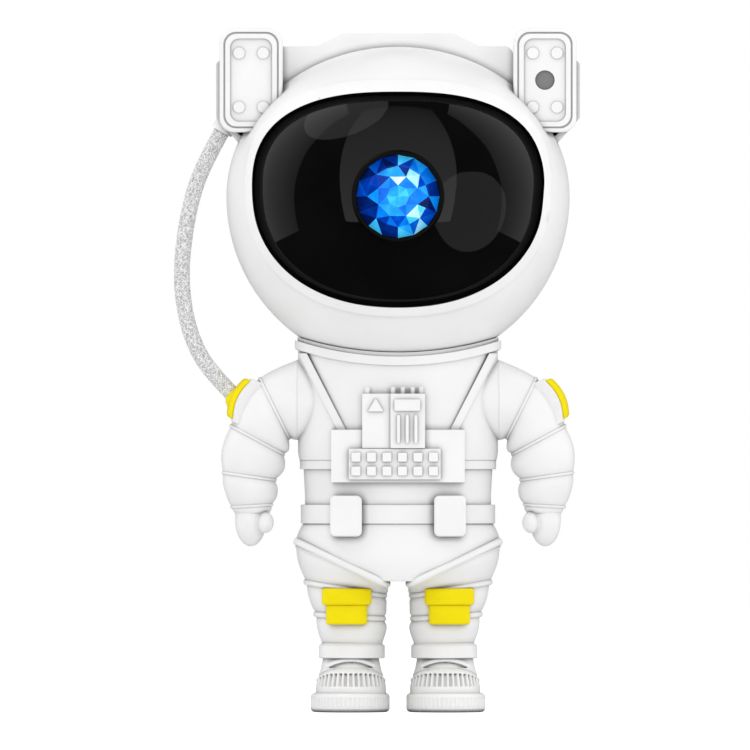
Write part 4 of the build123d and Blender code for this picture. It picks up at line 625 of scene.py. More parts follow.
# %% Finishes of the solids
finishes = {
    "helmet_front_shell": white_plastic,
    "helmet_rear_shell": white_plastic,
    "head_screws": screw_steel,
    "visor_bezel": white_plastic,
    "visor_gasket": rubber_black,
    "visor": visor_black,
    "lens_ring": satin_black,
    "optical_frame": grey_plastic,
    "ripple_disc": rippled_glass,
    "motor_pinion": nylon,
    "ripple_motor": bright_steel,
    "led_board": board_green,
    "heat_sink": aluminium,
    "control_board": board_green,
    "power_inlet": bright_steel,
    "sensor_window": visor_black,
    "nebula_button": grey_plastic,
    "star_button": grey_plastic,
    "head_magnet": magnet_nickel,
    "left_ear_cover": white_plastic,
    "right_ear_cover": white_plastic,
    "laser_window": window_grey,
    "laser_module": turned_brass,
    "right_ear_housing": white_plastic,
    "left_ear_housing": white_plastic,
    "head_band": white_plastic,
    "hose_socket_upper": white_plastic,
    "collar_ring": white_plastic,
    "neck_plate": white_plastic,
    "neck_swivel": white_plastic,
    "neck_magnet": magnet_nickel,
    "neck_clip": screw_steel,
    "torso_front_shell": white_plastic,
    "torso_rear_shell": white_plastic,
    "body_screws": screw_steel,
    "waist_ring": white_plastic,
    "belt": white_plastic,
    "belt_pouches": white_plastic,
    "hip_shell": white_plastic,
    "foot_weights": cast_iron,
    "left_shoulder_pin": nylon,
    "right_shoulder_pin": nylon,
    "chest_box": white_plastic,
    "chest_straps": white_plastic,
    "backpack_shell": white_plastic,
    "backpack_cover": white_plastic,
}
pieces = {node: dressed(node, material) for node, material in finishes.items()}
print("dressed", len(pieces), "solids")

# %% [markdown]
# The hips end in a level edge between the legs. A bisect takes the copy's lowest strip away and closes it.

# %% Crotch
crotch_z = 43.7
select_only(pieces["hip_shell"])
bpy.ops.object.mode_set(mode="EDIT")
bpy.ops.mesh.select_all(action="SELECT")
bpy.ops.mesh.bisect(plane_co=(0, 0, crotch_z * mm), plane_no=(0, 0, 1), use_fill=True, clear_inner=True)
bpy.ops.object.mode_set(mode="OBJECT")
print("hips end at", crotch_z, "mm")

# %% [markdown]
# Two small corrections follow on the copies. The waist ring is raised until it meets the shell above it,
# and the three bars on the chest unit are made slimmer about their own middles.

# %% Waist ring and chest bars
waist_ring_top = 83.7
waist_ring_lip = 0.3
waist_ring_lift = 0.35
bar_centres = (0.1, 3.0, 5.9)
bar_bottom, bar_top = 89.2, 99.5
bar_reach = 1.35
bar_share = 0.66
lifted = 0
for vertex in pieces["waist_ring"].data.vertices:
    if vertex.co.z > (waist_ring_top - waist_ring_lip) * mm:
        vertex.co.z += waist_ring_lift * mm
        lifted += 1
moved = 0
for vertex in pieces["chest_box"].data.vertices:
    for centre in bar_centres:
        offset = vertex.co.x / mm - centre
        if abs(offset) < bar_reach and bar_bottom < vertex.co.z / mm < bar_top:
            vertex.co.x = (centre + bar_share * offset) * mm
            moved += 1
            break
print("raised", lifted, "points of the ring and slimmed", moved, "of the bars")

# %% [markdown]
# The visor's edge is drawn in a little. Points near an outline are scaled about the visor's middle and
# put back on the helmet's rounded form, so that the bezel closes in and the gasket becomes a fine line.

# %% Visor edge
helmet_radius = 57.2
helmet_centre_z = 171.7
dome_height = 50.0
opening_centre_z = 174.0
opening_half_width = 49.2
opening_up, opening_down = 32.7, 39.0
power_up, power_down = 2.6, 2.2


def opening_share(point):
    """0 in the middle of the visor's opening, 1 on its outline."""
    across = abs(point.x / mm) / opening_half_width
    rise = point.z / mm - opening_centre_z
    power, height = (power_up, opening_up) if rise > 0 else (power_down, opening_down)
    return across**power + (abs(rise) / height) ** power


def dome_radius(point):
    """How far a point is from the helmet's middle, as if the dome were as high as it is wide."""
    rise = point.z / mm - helmet_centre_z
    if rise > 0:
        rise *= helmet_radius / dome_height
    return Vector((point.x / mm, point.y / mm, rise)).length


def set_depth(point, radius):
    """Puts a point on the helmet's form at a radius, in front of where it is."""
    flat = Vector((point.x, 0, point.z))
    point.y = -sqrt(max(0, radius**2 - dome_radius(flat) ** 2)) * mm


def drawn(node, low, high, across, up, down):
    """Scales a solid's points with a share from low to high, and keeps them on the helmet's form."""
    count = 0
    for vertex in pieces[node].data.vertices:
        if not low < opening_share(vertex.co) < high:
            continue
        radius = dome_radius(vertex.co)
        rise = vertex.co.z / mm - opening_centre_z
        vertex.co.x *= across
        vertex.co.z = (opening_centre_z + rise * (up if rise > 0 else down)) * mm
        set_depth(vertex.co, radius)
        count += 1
    return count


inner_edge = (0.95, 1.03, 0.987, 0.99, 1.01)
outer_edge = (0.8, 0.955, 1.021, 1.03, 1.025)
for node, edge in (("visor_bezel", inner_edge), ("visor_gasket", outer_edge), ("visor", outer_edge)):
    print(node, drawn(node, *edge), "points")
gasket_face = 56.6
for vertex in pieces["visor_gasket"].data.vertices:
    if dome_radius(vertex.co) > gasket_face:
        set_depth(vertex.co, gasket_face)

# %% [markdown]
# The dimple in the left ear pod is a soft dish. Its floor is raised and made narrower.

# %% Ear dimple
pod_middle = Vector((-48.9, 0, 210.45)) * mm
dimple_reach = 2.9 * mm
dimple_depth = 0.5 * mm
floor_tolerance = 0.1 * mm
panel_y = -15.3 * mm
dish_depth = 0.1 * mm
dish_share = 0.6
dished = 0
for vertex in pieces["left_ear_cover"].data.vertices:
    offset = Vector((vertex.co.x - pod_middle.x, 0, vertex.co.z - pod_middle.z))
    if offset.length < dimple_reach and abs(vertex.co.y - panel_y - dimple_depth) < floor_tolerance:
        vertex.co.x = pod_middle.x + dish_share * offset.x
        vertex.co.z = pod_middle.z + dish_share * offset.z
        vertex.co.y = panel_y + dish_depth
        dished += 1
print("dish:", dished, "points")

# %% [markdown]
# Each ear pod's front cover is a hollow shell. A lid inside its rim closes it where it rises above the
# housing behind it, so that no dark pocket shows from the back.

# %% Ear lids
lid_half_width = 8.95 * mm
lid_half_height = 15.8 * mm
lid_thickness = 1.0 * mm
lid_y = -6.8 * mm
for side, node in ((-1, "left_ear_cover"), (1, "right_ear_cover")):
    bpy.ops.mesh.primitive_cube_add(
        size=1,
        calc_uvs=False,
        location=(-side * pod_middle.x, lid_y, pod_middle.z),
        scale=(2 * lid_half_width, lid_thickness, 2 * lid_half_height),
    )
    lid = bpy.context.active_object
    bpy.ops.object.transform_apply(location=True, rotation=False, scale=True)
    lid.data.materials.append(white_plastic)
    joined([pieces[node], lid])
    print(node, "with its lid:", len(pieces[node].data.polygons), "faces")

# %% [markdown]
# ## Sleeves, trousers and gloves
#
# The suit is moulded as a tower of soft rolls with a thin cord in the seam between two of them. Extruding a
# circle again and again would also give the rolls, but each ring here has a tilt of its own. So the rings
# are worked out from a few sections, each with the place of its outer end, its inner end and half its depth.

# %% Rings of a limb
ring_points = 96
steps_per_run = 10
hip_half_width = 34.7
hip_half_depth = 24.9
hip_power = 2.2
seam_reach = 0.35
outer_notch_share = 0.35
hug_squareness = 0.6
corner_power = 8
cord_sides = 10
turns = [2 * pi * k / ring_points for k in range(ring_points)]


def section_at(sections, at):
    """The section at a place between two given ones, on a smooth curve through all of them."""
    index = min(int(at), len(sections) - 2)
    share = at - index
    last = len(sections) - 1
    before, start, end, after = (sections[max(0, min(last, index + step))] for step in (-1, 0, 1, 2))
    return [
        b + 0.5 * share * (c - a + share * (2 * a - 5 * b + 4 * c - d + share * (3 * (b - c) + d - a)))
        for a, b, c, d in zip(before, start, end, after)
    ]


def hip_front(x):
    """How far the hips reach forward at a distance from the middle."""
    return hip_half_depth * max(0.0, 1 - (abs(x) / hip_half_width) ** hip_power) ** (1 / hip_power)


def limb_ring(sections, at, side, seams, notch, grow=0.0):
    """The points of one ring, drawn in near each seam. A sixth value lets a ring hug the hips."""
    outer_x, outer_z, inner_x, inner_z, half_depth, hug = section_at(sections, at)
    centre = Vector(((outer_x + inner_x) / 2, 0, (outer_z + inner_z) / 2))
    half = Vector(((outer_x - inner_x) / 2, 0, (outer_z - inner_z) / 2))
    nearness = max(exp(-(((at - seam) / seam_reach) ** 2)) for seam in seams)
    points = []
    for turn in turns:
        inward = (1 - cos(turn)) / 2
        swell = grow - nearness * notch * (outer_notch_share + (1 - outer_notch_share) * inward)
        along = cos(turn)
        if along < 0:
            along = -(abs(along) ** (1 - hug_squareness * hug))
        point = centre + (half + half.normalized() * swell) * along
        corner = (1 - max(0.0, -along) ** corner_power) ** (1 / corner_power)
        round_depth = (half_depth + swell) * abs(sin(turn))
        hugging_depth = hip_front(point.x) * corner + swell * min(1.0, 4 * abs(sin(turn)))
        depth = round_depth + hug * (hugging_depth - round_depth)
        points.append(Vector((side * point.x, depth if sin(turn) > 0 else -depth, point.z)) * mm)
    return points


def add_ring(shape, points):
    """Puts a ring of points into a mesh."""
    return [shape.verts.new(point) for point in points]


def add_cord_loop(shape, points, radius):
    """A thin cord laid along a closed ring of points."""
    middle = sum(points, Vector()) / len(points)
    flat = (points[0] - middle).cross(points[len(points) // 4] - middle).normalized()
    rings = []
    for index, point in enumerate(points):
        along = (points[(index + 1) % len(points)] - points[index - 1]).normalized()
        outward = along.cross(flat)
        spokes = [2 * pi * k / cord_sides for k in range(cord_sides)]
        rings.append(add_ring(shape, [point + radius * (cos(s) * outward + sin(s) * flat) for s in spokes]))
    for ring, following in zip(rings, rings[1:] + rings[:1]):
        for k in range(cord_sides):
            j = (k + 1) % cord_sides
            shape.faces.new((ring[k], ring[j], following[j], following[k]))


def limb(name, sections, side, seams, notch, cords):
    """A limb with its rolls, and a cord at each place that a list of places, radii and rises names."""
    shape = bmesh.new()
    count = (len(sections) - 1) * steps_per_run
    rings = []
    for step in range(count + 1):
        rings.append(add_ring(shape, limb_ring(sections, step / steps_per_run, side, seams, notch)))
    add_tube(shape, rings)
    for at, radius, rise in cords:
        add_cord_loop(shape, limb_ring(sections, at, side, seams, notch, rise - radius), radius * mm)
    return as_piece(name, shape, 50)


# %% [markdown]
# A glove is a mitten: an egg for the palm and a smaller one for the thumb. Voxel remeshing melts the two
# into one skin, with the soft crease between them that a mould leaves.

# %% Gloves
palm_centre = (49.1, 0.0, 64.0)
palm_half_size = (5.2, 7.0, 8.8)
wrist_centre = (48.6, 0.0, 67.0)
wrist_half_size = (5.9, 6.4, 5.0)
thumb_centre = (44.4, -4.4, 63.2)
thumb_half_size = (3.0, 3.5, 3.6)
glove_voxel = 0.3 * mm
glove_relaxing = 6


def egg(centre, half_size, side):
    """A stretched ball."""
    x, y, z = centre
    bpy.ops.mesh.primitive_uv_sphere_add(segments=48, ring_count=32, location=(side * x * mm, y * mm, z * mm))
    ball = bpy.context.active_object
    ball.scale = [half * mm for half in half_size]
    return ball


def glove(side):
    """A mitten with its thumb in front, on the inner side."""
    palm = egg(palm_centre, palm_half_size, side)
    wrist = egg(wrist_centre, wrist_half_size, side)
    thumb = egg(thumb_centre, thumb_half_size, side)
    joined([palm, wrist, thumb])
    bpy.ops.object.transform_apply(location=True, rotation=True, scale=True)
    palm.data.remesh_voxel_size = glove_voxel
    bpy.ops.object.voxel_remesh()
    relax = palm.modifiers.new("relax", "SMOOTH")
    relax.iterations = glove_relaxing
    apply_modifiers(palm)
    smooth(palm, 80)
    return palm


# %% Arms
arm_sections = [
    (33.65, 117.3, 33.65, 90.7, 13.4, 0),
    (46.2, 111.5, 35.9, 90.4, 12.6, 0),
    (52.9, 103.2, 36.3, 87.6, 12.0, 0),
    (56.0, 95.6, 37.3, 85.4, 11.3, 0),
    (58.7, 87.4, 37.9, 81.0, 11.0, 0),
    (58.7, 79.8, 40.0, 77.2, 10.1, 0),
    (57.9, 74.2, 40.1, 73.2, 9.6, 0),
    (55.8, 68.3, 41.2, 69.2, 8.1, 0),
    (54.3, 66.2, 42.8, 66.5, 6.8, 0),
]
arm_seams = (1, 3, 5, 7)
arm_notch = 0.9
arm_cord_radius = 0.55
arm_cord_rise = 0.5


def arm(name, side, body):
    """One sleeve with its glove."""
    cords = [(seam, arm_cord_radius, arm_cord_rise) for seam in arm_seams]
    sleeve = limb(f"{name}_sleeve", arm_sections, side, arm_seams, arm_notch, cords)
    joined([sleeve, glove(side)])
    settle(sleeve, body, white_plastic)
    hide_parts(name)
    return sleeve


left_arm = arm("left_arm", -1, "left_arm")
right_arm = arm("right_arm", 1, "right_arm")
print("arms:", len(left_arm.data.polygons), "faces each")

# %% Legs
leg_sections = [
    (34.0, 56.9, 3.4, 42.6, 20.5, 1),
    (33.4, 50.6, 3.4, 40.7, 18.6, 0.2),
    (31.0, 43.4, 3.4, 38.6, 16.2, 0),
    (29.5, 37.4, 3.9, 35.0, 14.6, 0),
    (27.7, 32.6, 3.7, 31.0, 13.2, 0),
    (26.8, 27.0, 3.9, 27.0, 12.4, 0),
    (24.9, 22.0, 5.6, 22.0, 11.0, 0),
]
leg_seams = (2, 4)
leg_notch = 1.2
leg_cords = [(0, 1.3, 0.9), (0.35, 0.5, 0.35), (2, 1.1, 1.0), (4, 1.1, 1.0)]


def leg(name, side):
    """One trouser leg, from the cord at the hip down to the ankle."""
    piece = limb(f"{name}_trouser", leg_sections, side, leg_seams, leg_notch, leg_cords)
    settle(piece, "torso", white_plastic)
    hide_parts(name)
    return piece


left_leg = leg("left_leg", -1)
right_leg = leg("right_leg", 1)
print("legs:", len(left_leg.data.polygons), "and", len(right_leg.data.polygons), "faces")

# %% [markdown]
# ## Shoulder patches and knee pads
#
# These are thick yellow plates that hug the suit. Each starts as a block with bevelled edges, is cut into
# slices so that it can bend, and is then laid on the figure by a small function of its own.

# %% Bent plates
slice_width = 0.8 * mm
plate_edge = 0.9


def bent_plate(name, width, height, thickness, edge, place):
    """A block with round edges. A function gives each point its place from (across, up, out) in mm."""
    bpy.ops.object.select_all(action="DESELECT")
    bpy.ops.mesh.primitive_cube_add(size=1)
    plate = bpy.context.active_object
    plate.name = name
    plate.scale = (width * mm, height * mm, thickness * mm)
    bpy.ops.object.transform_apply(location=True, rotation=True, scale=True)
    rounding = plate.modifiers.new("rounding", "BEVEL")
    rounding.width = edge * mm
    rounding.segments = 4
    apply_modifiers(plate)
    bpy.ops.object.mode_set(mode="EDIT")
    for normal, reach in (((1, 0, 0), width), ((0, 1, 0), height)):
        slices = int(reach * mm / slice_width)
        for step in range(1, slices):
            cut = (step / slices - 0.5) * reach * mm
            bpy.ops.mesh.select_all(action="SELECT")
            bpy.ops.mesh.bisect(plane_co=[cut * part for part in normal], plane_no=normal)
    bpy.ops.object.mode_set(mode="OBJECT")
    for vertex in plate.data.vertices:
        vertex.co = Vector(place(*(vertex.co / mm))) * mm
    bpy.ops.object.mode_set(mode="EDIT")
    bpy.ops.mesh.select_all(action="SELECT")
    bpy.ops.mesh.normals_make_consistent(inside=False)
    bpy.ops.object.mode_set(mode="OBJECT")
    smooth(plate, 50)
    return plate


# %% Knee pads
knee_x = 17.1
knee_bend_radius = 10.5
knee_plates = ((16.5, 5.6, 38.5, 17.9), (13.7, 7.0, 32.7, 17.0))
knee_thickness = 4.6


def knee_pad(side):
    """A wide plate over a narrower one, bent round the front of the knee."""
    plates = []
    for width, height, middle_z, front in knee_plates:

        def on_knee(across, up, out, middle_z=middle_z, front=front):
            away = front - knee_thickness / 2 + out - across**2 / (2 * knee_bend_radius)
            return side * (knee_x + across), -away, middle_z + up

        plates.append(bent_plate("knee_plate", width, height, knee_thickness, plate_edge, on_knee))
    return joined(plates)


knee_pads = joined([knee_pad(-1), knee_pad(1)])
knee_pads.name = "knee_pads_plates"
settle(knee_pads, "torso", yellow_plastic)
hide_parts("knee_pads")
print("knee pads:", len(knee_pads.data.polygons), "faces")

# %% Shoulder patches
patch_middle = (54.8, 0.0, 105.3)
patch_slope = radians(65)
patch_length = 14.2
patch_width = 13.0
patch_thickness = 1.8
patch_wrap_radius = 20.0
patch_arch_radius = 15.0
rim_width = 0.8
rim_thickness = 4.4
rim_drop = 2.7
rim_edge = 0.5
boss_radius = 4.3


def on_shoulder(side, lift):
    """Lays a plate on the outer side of the upper arm, at a lift above the patch's own middle."""

    def place(across, up, out):
        out += lift - across**2 / (2 * patch_wrap_radius) - up**2 / (2 * patch_arch_radius)
        x = patch_middle[0] - up * cos(patch_slope) + out * sin(patch_slope)
        z = patch_middle[2] + up * sin(patch_slope) + out * cos(patch_slope)
        return side * x, across, z

    return place


def shoulder_patch(name, side, body):
    """The yellow patch of one shoulder. The left one has the round boss that the hose enters."""
    place = on_shoulder(side, 0)
    plates = [bent_plate(f"{name}_plate", patch_width, patch_length, patch_thickness, plate_edge, place)]
    if side < 0:
        bpy.ops.mesh.primitive_uv_sphere_add(
            segments=48, ring_count=24, radius=boss_radius * mm, location=ball_centre
        )
        boss = bpy.context.active_object
        select_only(boss)
        bpy.ops.object.transform_apply(location=True, rotation=True, scale=True)
        smooth(boss, 60)
        plates.append(boss)
    patch = joined(plates)
    settle(patch, body, yellow_plastic)
    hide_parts(name)
    return patch


def patch_rim(side):
    """The white rim that the patch is set in."""
    width = patch_width + 2 * rim_width
    length = patch_length + 2 * rim_width
    return bent_plate("patch_rim", width, length, rim_thickness, rim_edge, on_shoulder(side, -rim_drop))


joined([left_arm, patch_rim(-1)])
joined([right_arm, patch_rim(1)])
left_patch = shoulder_patch("left_shoulder_patch", -1, "left_arm")
right_patch = shoulder_patch("right_shoulder_patch", 1, "right_arm")
print("patches:", len(left_patch.data.polygons), "and", len(right_patch.data.polygons), "faces")

# %% [markdown]
# ## Ankles and boots
#
# Cuffs, boots and soles are stacks of ellipses. Their detail is a relief: at each angle and height the
# surface is raised or sunk a little, for the slots over the toes, the rim above them, the tongue with
# its strap, and the fine flutes of the sole.

# %% Ring forms


def bell(value, width):
    """A smooth bump that is 1 at zero and fades out at about twice its width."""
    return exp(-((value / width) ** 2))


def between(levels, height):
    """The values of a table of levels at a height, on straight lines between its rows."""
    for low, high in zip(levels, levels[1:]):
        if height <= high[0]:
            share = max(0.0, (height - low[0]) / (high[0] - low[0]))
            return [a + share * (b - a) for a, b in zip(low[1:], high[1:])]
    return list(levels[-1][1:])


def ring_form(name, side, centre_x, heights, count, outline, relief, angle):
    """A stack of ellipses. An outline gives half width, half depth and middle, and a relief the surface."""
    shape = bmesh.new()
    rings = []
    for height in heights:
        half_width, half_depth, middle_y = outline(height)
        points = []
        for step in range(count):
            turn = 2 * pi * step / count - pi
            outward = Vector((sin(turn) / half_width, -cos(turn) / half_depth, 0)).normalized()
            point = Vector((half_width * sin(turn), middle_y - half_depth * cos(turn), height))
            point += outward * relief(turn, height)
            points.append(Vector((side * (centre_x + point.x), point.y, point.z)) * mm)
        rings.append(add_ring(shape, points))
    add_tube(shape, rings)
    return as_piece(name, shape, angle)


def ring_pair(name, *form):
    """The same stack of ellipses at the left and at the right, as one piece."""
    return joined([ring_form(name, side, *form) for side in (-1, 1)])


# %% Cuffs
cuff_centre_x = 15.4
cuff_profile = [
    (17.9, 0.5),
    (18.0, 0.2),
    (18.25, 0.0),
    (22.0, 0.0),
    (22.2, 0.1),
    (22.35, 0.35),
    (23.0, 0.9),
]
cuff_half_width = 11.0
cuff_half_depth = 12.4


def cuff_outline(height):
    """The cuff's ellipse, drawn in at its edges."""
    inset = between(cuff_profile, height)[0]
    return cuff_half_width - inset, cuff_half_depth - inset, 0.0


def no_relief(turn, height):
    """A plain surface."""
    return 0.0


cuff_heights = [row[0] for row in cuff_profile]
cuffs = ring_pair("ankle_cuff_rings", cuff_centre_x, cuff_heights, 120, cuff_outline, no_relief, 30)
settle(cuffs, "torso", white_plastic)
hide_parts("ankle_cuffs")
print("cuffs:", len(cuffs.data.polygons), "faces")

# %% Boots
boot_centre_x = 15.7
boot_bottom = 6.2
boot_top = 18.2
boot_rings = 54
boot_levels = [
    (6.2, 11.8, 18.0, -3.0),
    (9.0, 11.6, 17.6, -3.0),
    (11.5, 11.05, 15.9, -2.2),
    (14.2, 10.1, 13.6, -1.2),
    (17.0, 9.5, 11.3, -0.3),
    (18.2, 9.4, 10.6, 0.0),
]
slot_pitch = radians(9.5)
slot_half_turn = radians(3.1)
slots_each_side = 7
slot_bottom = 8.6
slot_depth = 1.0
slot_fade = 0.4
slot_to_rim = 0.8
rim_height = 13.3
rim_fall = 2.6
rim_level_turn = radians(25)
rim_fall_turn = radians(60)
rim_end_turn = radians(100)
rim_rise = 0.35
rim_spread = 0.45
ledge_depth = 0.55
ledge_above_rim = 0.95
ledge_spread = 0.32
tongue_bottom = 14.7
tongue_arch = 2.2
tongue_half_turn = radians(52)
tongue_depth = 1.1
tongue_fade = 0.25
strap_rise = 0.6
strap_above_arch = 0.9
strap_spread = 0.8


def rim_at(turn):
    """The height of the rim over the slots, which falls towards the sides."""
    share = max(0.0, min(1.0, (abs(turn) - rim_level_turn) / rim_fall_turn))
    return rim_height - rim_fall * share**2


def boot_outline(height):
    """The boot's ellipse."""
    return between(boot_levels, height)


def boot_relief(turn, height):
    """Slots over the toes, a rim above them, and a sunk tongue under a raised strap."""
    rise = 0.0
    rim = rim_at(turn)
    number = round(turn / slot_pitch)
    if abs(number) <= slots_each_side:
        off_slot = abs(turn - number * slot_pitch) / slot_half_turn
        to_bottom = max(0.0, slot_bottom + slot_fade - height) / slot_fade
        to_rim = max(0.0, height - rim + slot_to_rim) / slot_fade
        rise -= slot_depth * max(0.0, 1 - max(off_slot, to_bottom, to_rim) ** 3)
    if abs(turn) < rim_end_turn:
        rise += rim_rise * bell(height - rim, rim_spread)
        rise -= ledge_depth * bell(height - rim - ledge_above_rim, ledge_spread)
    if abs(turn) < tongue_half_turn:
        arch = tongue_bottom + tongue_arch * cos(turn / tongue_half_turn * pi / 2)
        if tongue_bottom < height < arch:
            rise -= tongue_depth * min(1.0, (arch - height) / tongue_fade)
        rise += strap_rise * bell(height - arch - strap_above_arch, strap_spread)
    return rise


boot_heights = []
for step in range(boot_rings + 1):
    boot_heights.append(boot_bottom + (boot_top - boot_bottom) * step / boot_rings)
for name, side in (("left_boot", -1), ("right_boot", 1)):
    boot = ring_form(f"{name}_upper", side, boot_centre_x, boot_heights, 400, boot_outline, boot_relief, 60)
    settle(boot, "torso", white_plastic)
    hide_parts(name)
    print(name, len(boot.data.polygons), "faces")

# %% Soles
sole_centre_x = 15.95
sole_half_width = 13.15
sole_half_depth = 20.0
sole_middle_y = -3.0
sole_profile = [
    (0.0, 1.5),
    (0.08, 0.95),
    (0.3, 0.5),
    (0.7, 0.18),
    (1.2, 0.0),
    (5.2, 0.0),
    (5.6, 0.12),
    (5.95, 0.38),
    (6.2, 0.75),
    (6.35, 1.2),
    (6.4, 1.7),
]
flute_count = 54
flute_depth = 0.2
flute_low, flute_high = 1.3, 5.0
flute_fade = 0.4
flute_step = 0.2
flute_rings = 20


def sole_outline(height):
    """The sole's ellipse, drawn in at its round edges."""
    inset = between(sole_profile, height)[0]
    return sole_half_width - inset, sole_half_depth - inset, sole_middle_y


def sole_relief(turn, height):
    """Fine upright flutes round the sole."""
    if not flute_low <= height <= flute_high:
        return 0.0
    fade = min(1.0, (height - flute_low) / flute_fade, (flute_high - height) / flute_fade)
    return -flute_depth * fade * (0.5 + 0.5 * cos(flute_count * turn)) ** 2


flute_heights = [flute_low + flute_step * step for step in range(flute_rings)]
sole_heights = sorted([row[0] for row in sole_profile] + flute_heights)
sole_points = 8 * flute_count
soles = ring_pair("sole_rings", sole_centre_x, sole_heights, sole_points, sole_outline, sole_relief, 50)
settle(soles, "torso", white_plastic)
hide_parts("soles")
print("soles:", len(soles.data.polygons), "faces")

# %% [markdown]
# ## The lens
#
# The lens is cut as a round brilliant: a flat table, eight star facets, eight kites, and small facets along
# the rim. Light that goes in comes back from facets behind, so each one seems to have a blue of its own,
# from navy to nearly white. Clear glass in front of a closed head would only look black. So that light is
# painted: each facet carries it as an attribute of the mesh, with a faint painted glow, under a gloss that
# catches the lamps facet by facet.

# %% Crystal blue
navy = (0.001, 0.008, 0.09)
blue = (0.0, 0.05, 0.5)
azure = (0.003, 0.27, 0.95)
cyan = (0.06, 0.62, 1.0)
pale = (0.75, 0.95, 1.0)


def crystal_painted_light(name):
    """Five blues that a facet's own level of painted light picks, with faint streaks inside each facet."""
    material, nodes, links, shader = new_material(name)
    level = nodes.new("ShaderNodeAttribute")
    level.attribute_name = "painted_facet_light"
    streaks = value_range(nodes, links, object_noise(nodes, links, 260, 4.0), -0.16, 0.16)
    total = nodes.new("ShaderNodeMath")
    total.use_clamp = True
    links.new(level.outputs["Fac"], total.inputs[0])
    links.new(streaks, total.inputs[1])
    blues = nodes.new("ShaderNodeValToRGB")
    stops = blues.color_ramp.elements
    stops[0].color = (*navy, 1)
    stops[-1].color = (*pale, 1)
    for place, colour in ((0.3, blue), (0.58, azure), (0.8, cyan)):
        stops.new(place).color = (*colour, 1)
    links.new(total.outputs[0], blues.inputs["Fac"])
    links.new(blues.outputs["Color"], shader.inputs["Base Color"])
    # The facets' blues also glow faintly: a painted glow, not a lamp.
    links.new(blues.outputs["Color"], shader.inputs["Emission Color"])
    shader.inputs["Emission Strength"].default_value = 0.3
    shader.inputs["Roughness"].default_value = 0.03
    shader.inputs["Specular IOR Level"].default_value = 0.3
    return material


crystal_blue = crystal_painted_light("crystal_blue")
print("crystal finish:", crystal_blue.name)

# %% Cut facets
crystal_low, crystal_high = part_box("projection_lens")
middle_x = (crystal_low[0] + crystal_high[0]) / 2
middle_z = (crystal_low[2] + crystal_high[2]) / 2
crystal_middle = Vector((middle_x, crystal_low[1], middle_z))
crystal_radius = (crystal_high[0] - crystal_low[0]) / 2
crystal_depth = crystal_high[1] - crystal_low[1]
crown_share = 0.28
girdle_share = 0.14
heart_sink = 0.03
inner_sink = 0.012
kite_rise = 0.012
inner_reach = 0.27
table_reach = 0.51
star_reach = 0.74

# Each kind of facet has a middle level of painted light, and a spread over which its copies vary.
heart_levels = (0.66, 0.16)
inner_levels = (0.52, 0.3)
table_levels = (0.5, 0.3)
glint_levels = (0.97, 0.3)
star_levels = (0.5, 0.9)
kite_levels = (0.4, 0.95)
rim_levels = (0.45, 1.0)
back_levels = (0.2, 0.2)
side_reach = 0.45
side_darkening = 0.3


def scatter(number):
    """A number between 0 and 1 that seems random, and is the same each run."""
    return sin(number * 12.9898) * 43758.5453 % 1


def crystal_ring(shape, share, depth, count, start):
    """Points round the crystal's axis, from the top and clockwise, at a share of its radius and depth."""
    points = []
    for step in range(count):
        turn = 2 * pi * (step + start) / count
        offset = Vector((sin(turn), 0, cos(turn))) * share * crystal_radius
        points.append(shape.verts.new(crystal_middle + offset + Vector((0, depth * crystal_depth, 0))))
    return points


def cut_crystal():
    """The crystal's facets, each with a level of painted light between 0, navy, and 1, nearly white."""
    shape = bmesh.new()
    painted_facet_light = shape.faces.layers.float.new("painted_facet_light")
    heart = shape.verts.new(crystal_middle + Vector((0, heart_sink * crystal_depth, 0)))
    inner = crystal_ring(shape, inner_reach, inner_sink, 8, 0)
    table = crystal_ring(shape, table_reach, 0.0, 8, 0.5)
    star = crystal_ring(shape, star_reach, 0.5 * crown_share, 8, 0)
    rim = crystal_ring(shape, 1.0, crown_share, 16, 0)
    back = crystal_ring(shape, 1.0, crown_share + girdle_share, 16, 0)
    apex = shape.verts.new(crystal_middle + Vector((0, crystal_depth, 0)))
    facets = []
    for k in range(8):
        n = (k + 1) % 8
        facets.append(((heart, inner[k], inner[n]), heart_levels))
        facets.append(((inner[k], table[k], inner[n]), inner_levels))
        # The top facet of the table is the glint, a painted highlight.
        facets.append(((inner[k], table[k - 1], table[k]), glint_levels if k == 0 else table_levels))
        facets.append(((table[k - 1], star[k], table[k]), star_levels))
        kite = (table[k], star[k], rim[2 * k + 1], star[n])
        centre = sum((corner.co for corner in kite), Vector()) / 4
        middle = shape.verts.new(centre - Vector((0, kite_rise * crystal_depth, 0)))
        for corner, following in zip(kite, kite[1:] + kite[:1]):
            facets.append(((corner, following, middle), kite_levels))
        facets.append(((star[k], rim[2 * k], rim[2 * k + 1]), rim_levels))
        facets.append(((star[k], rim[2 * k - 1], rim[2 * k]), rim_levels))
    for k in range(16):
        facets.append(((rim[k], rim[k - 1], back[k - 1], back[k]), back_levels))
        facets.append(((back[k], back[k - 1], apex), back_levels))
    for number, (corners, (base, spread)) in enumerate(facets):
        face = shape.faces.new(corners)
        offset = face.calc_center_median() - crystal_middle
        to_side = abs(offset.x) / crystal_radius
        level = base + spread * (scatter(number + 3) - 0.5)
        # Facets further to the sides than side_reach get darker: painted shade.
        level -= side_darkening * max(0.0, to_side - side_reach)
        face[painted_facet_light] = max(0.0, min(1.0, level))
    return as_piece("projection_lens_cut", shape, 1)


crystal = cut_crystal()
settle(crystal, "head", crystal_blue)
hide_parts("projection_lens")
print("crystal:", len(crystal.data.polygons), "facets")

# %% [markdown]
# ## Studio
#
# A very large soft lamp in front and above gives the even light of a product picture, and two tall ones at
# the sides edge the figure. All of them show in the visor: an arch round the lens, a pane at each side,
# a disc to the right and an oval at the upper left. Around them the visor sees a dark room. The large lamp
# and the tall ones fade towards one side, because a real softbox isn't equally bright all over.

# %% Lamps
visor_centre = Vector((0, 0, 171.5)) * mm


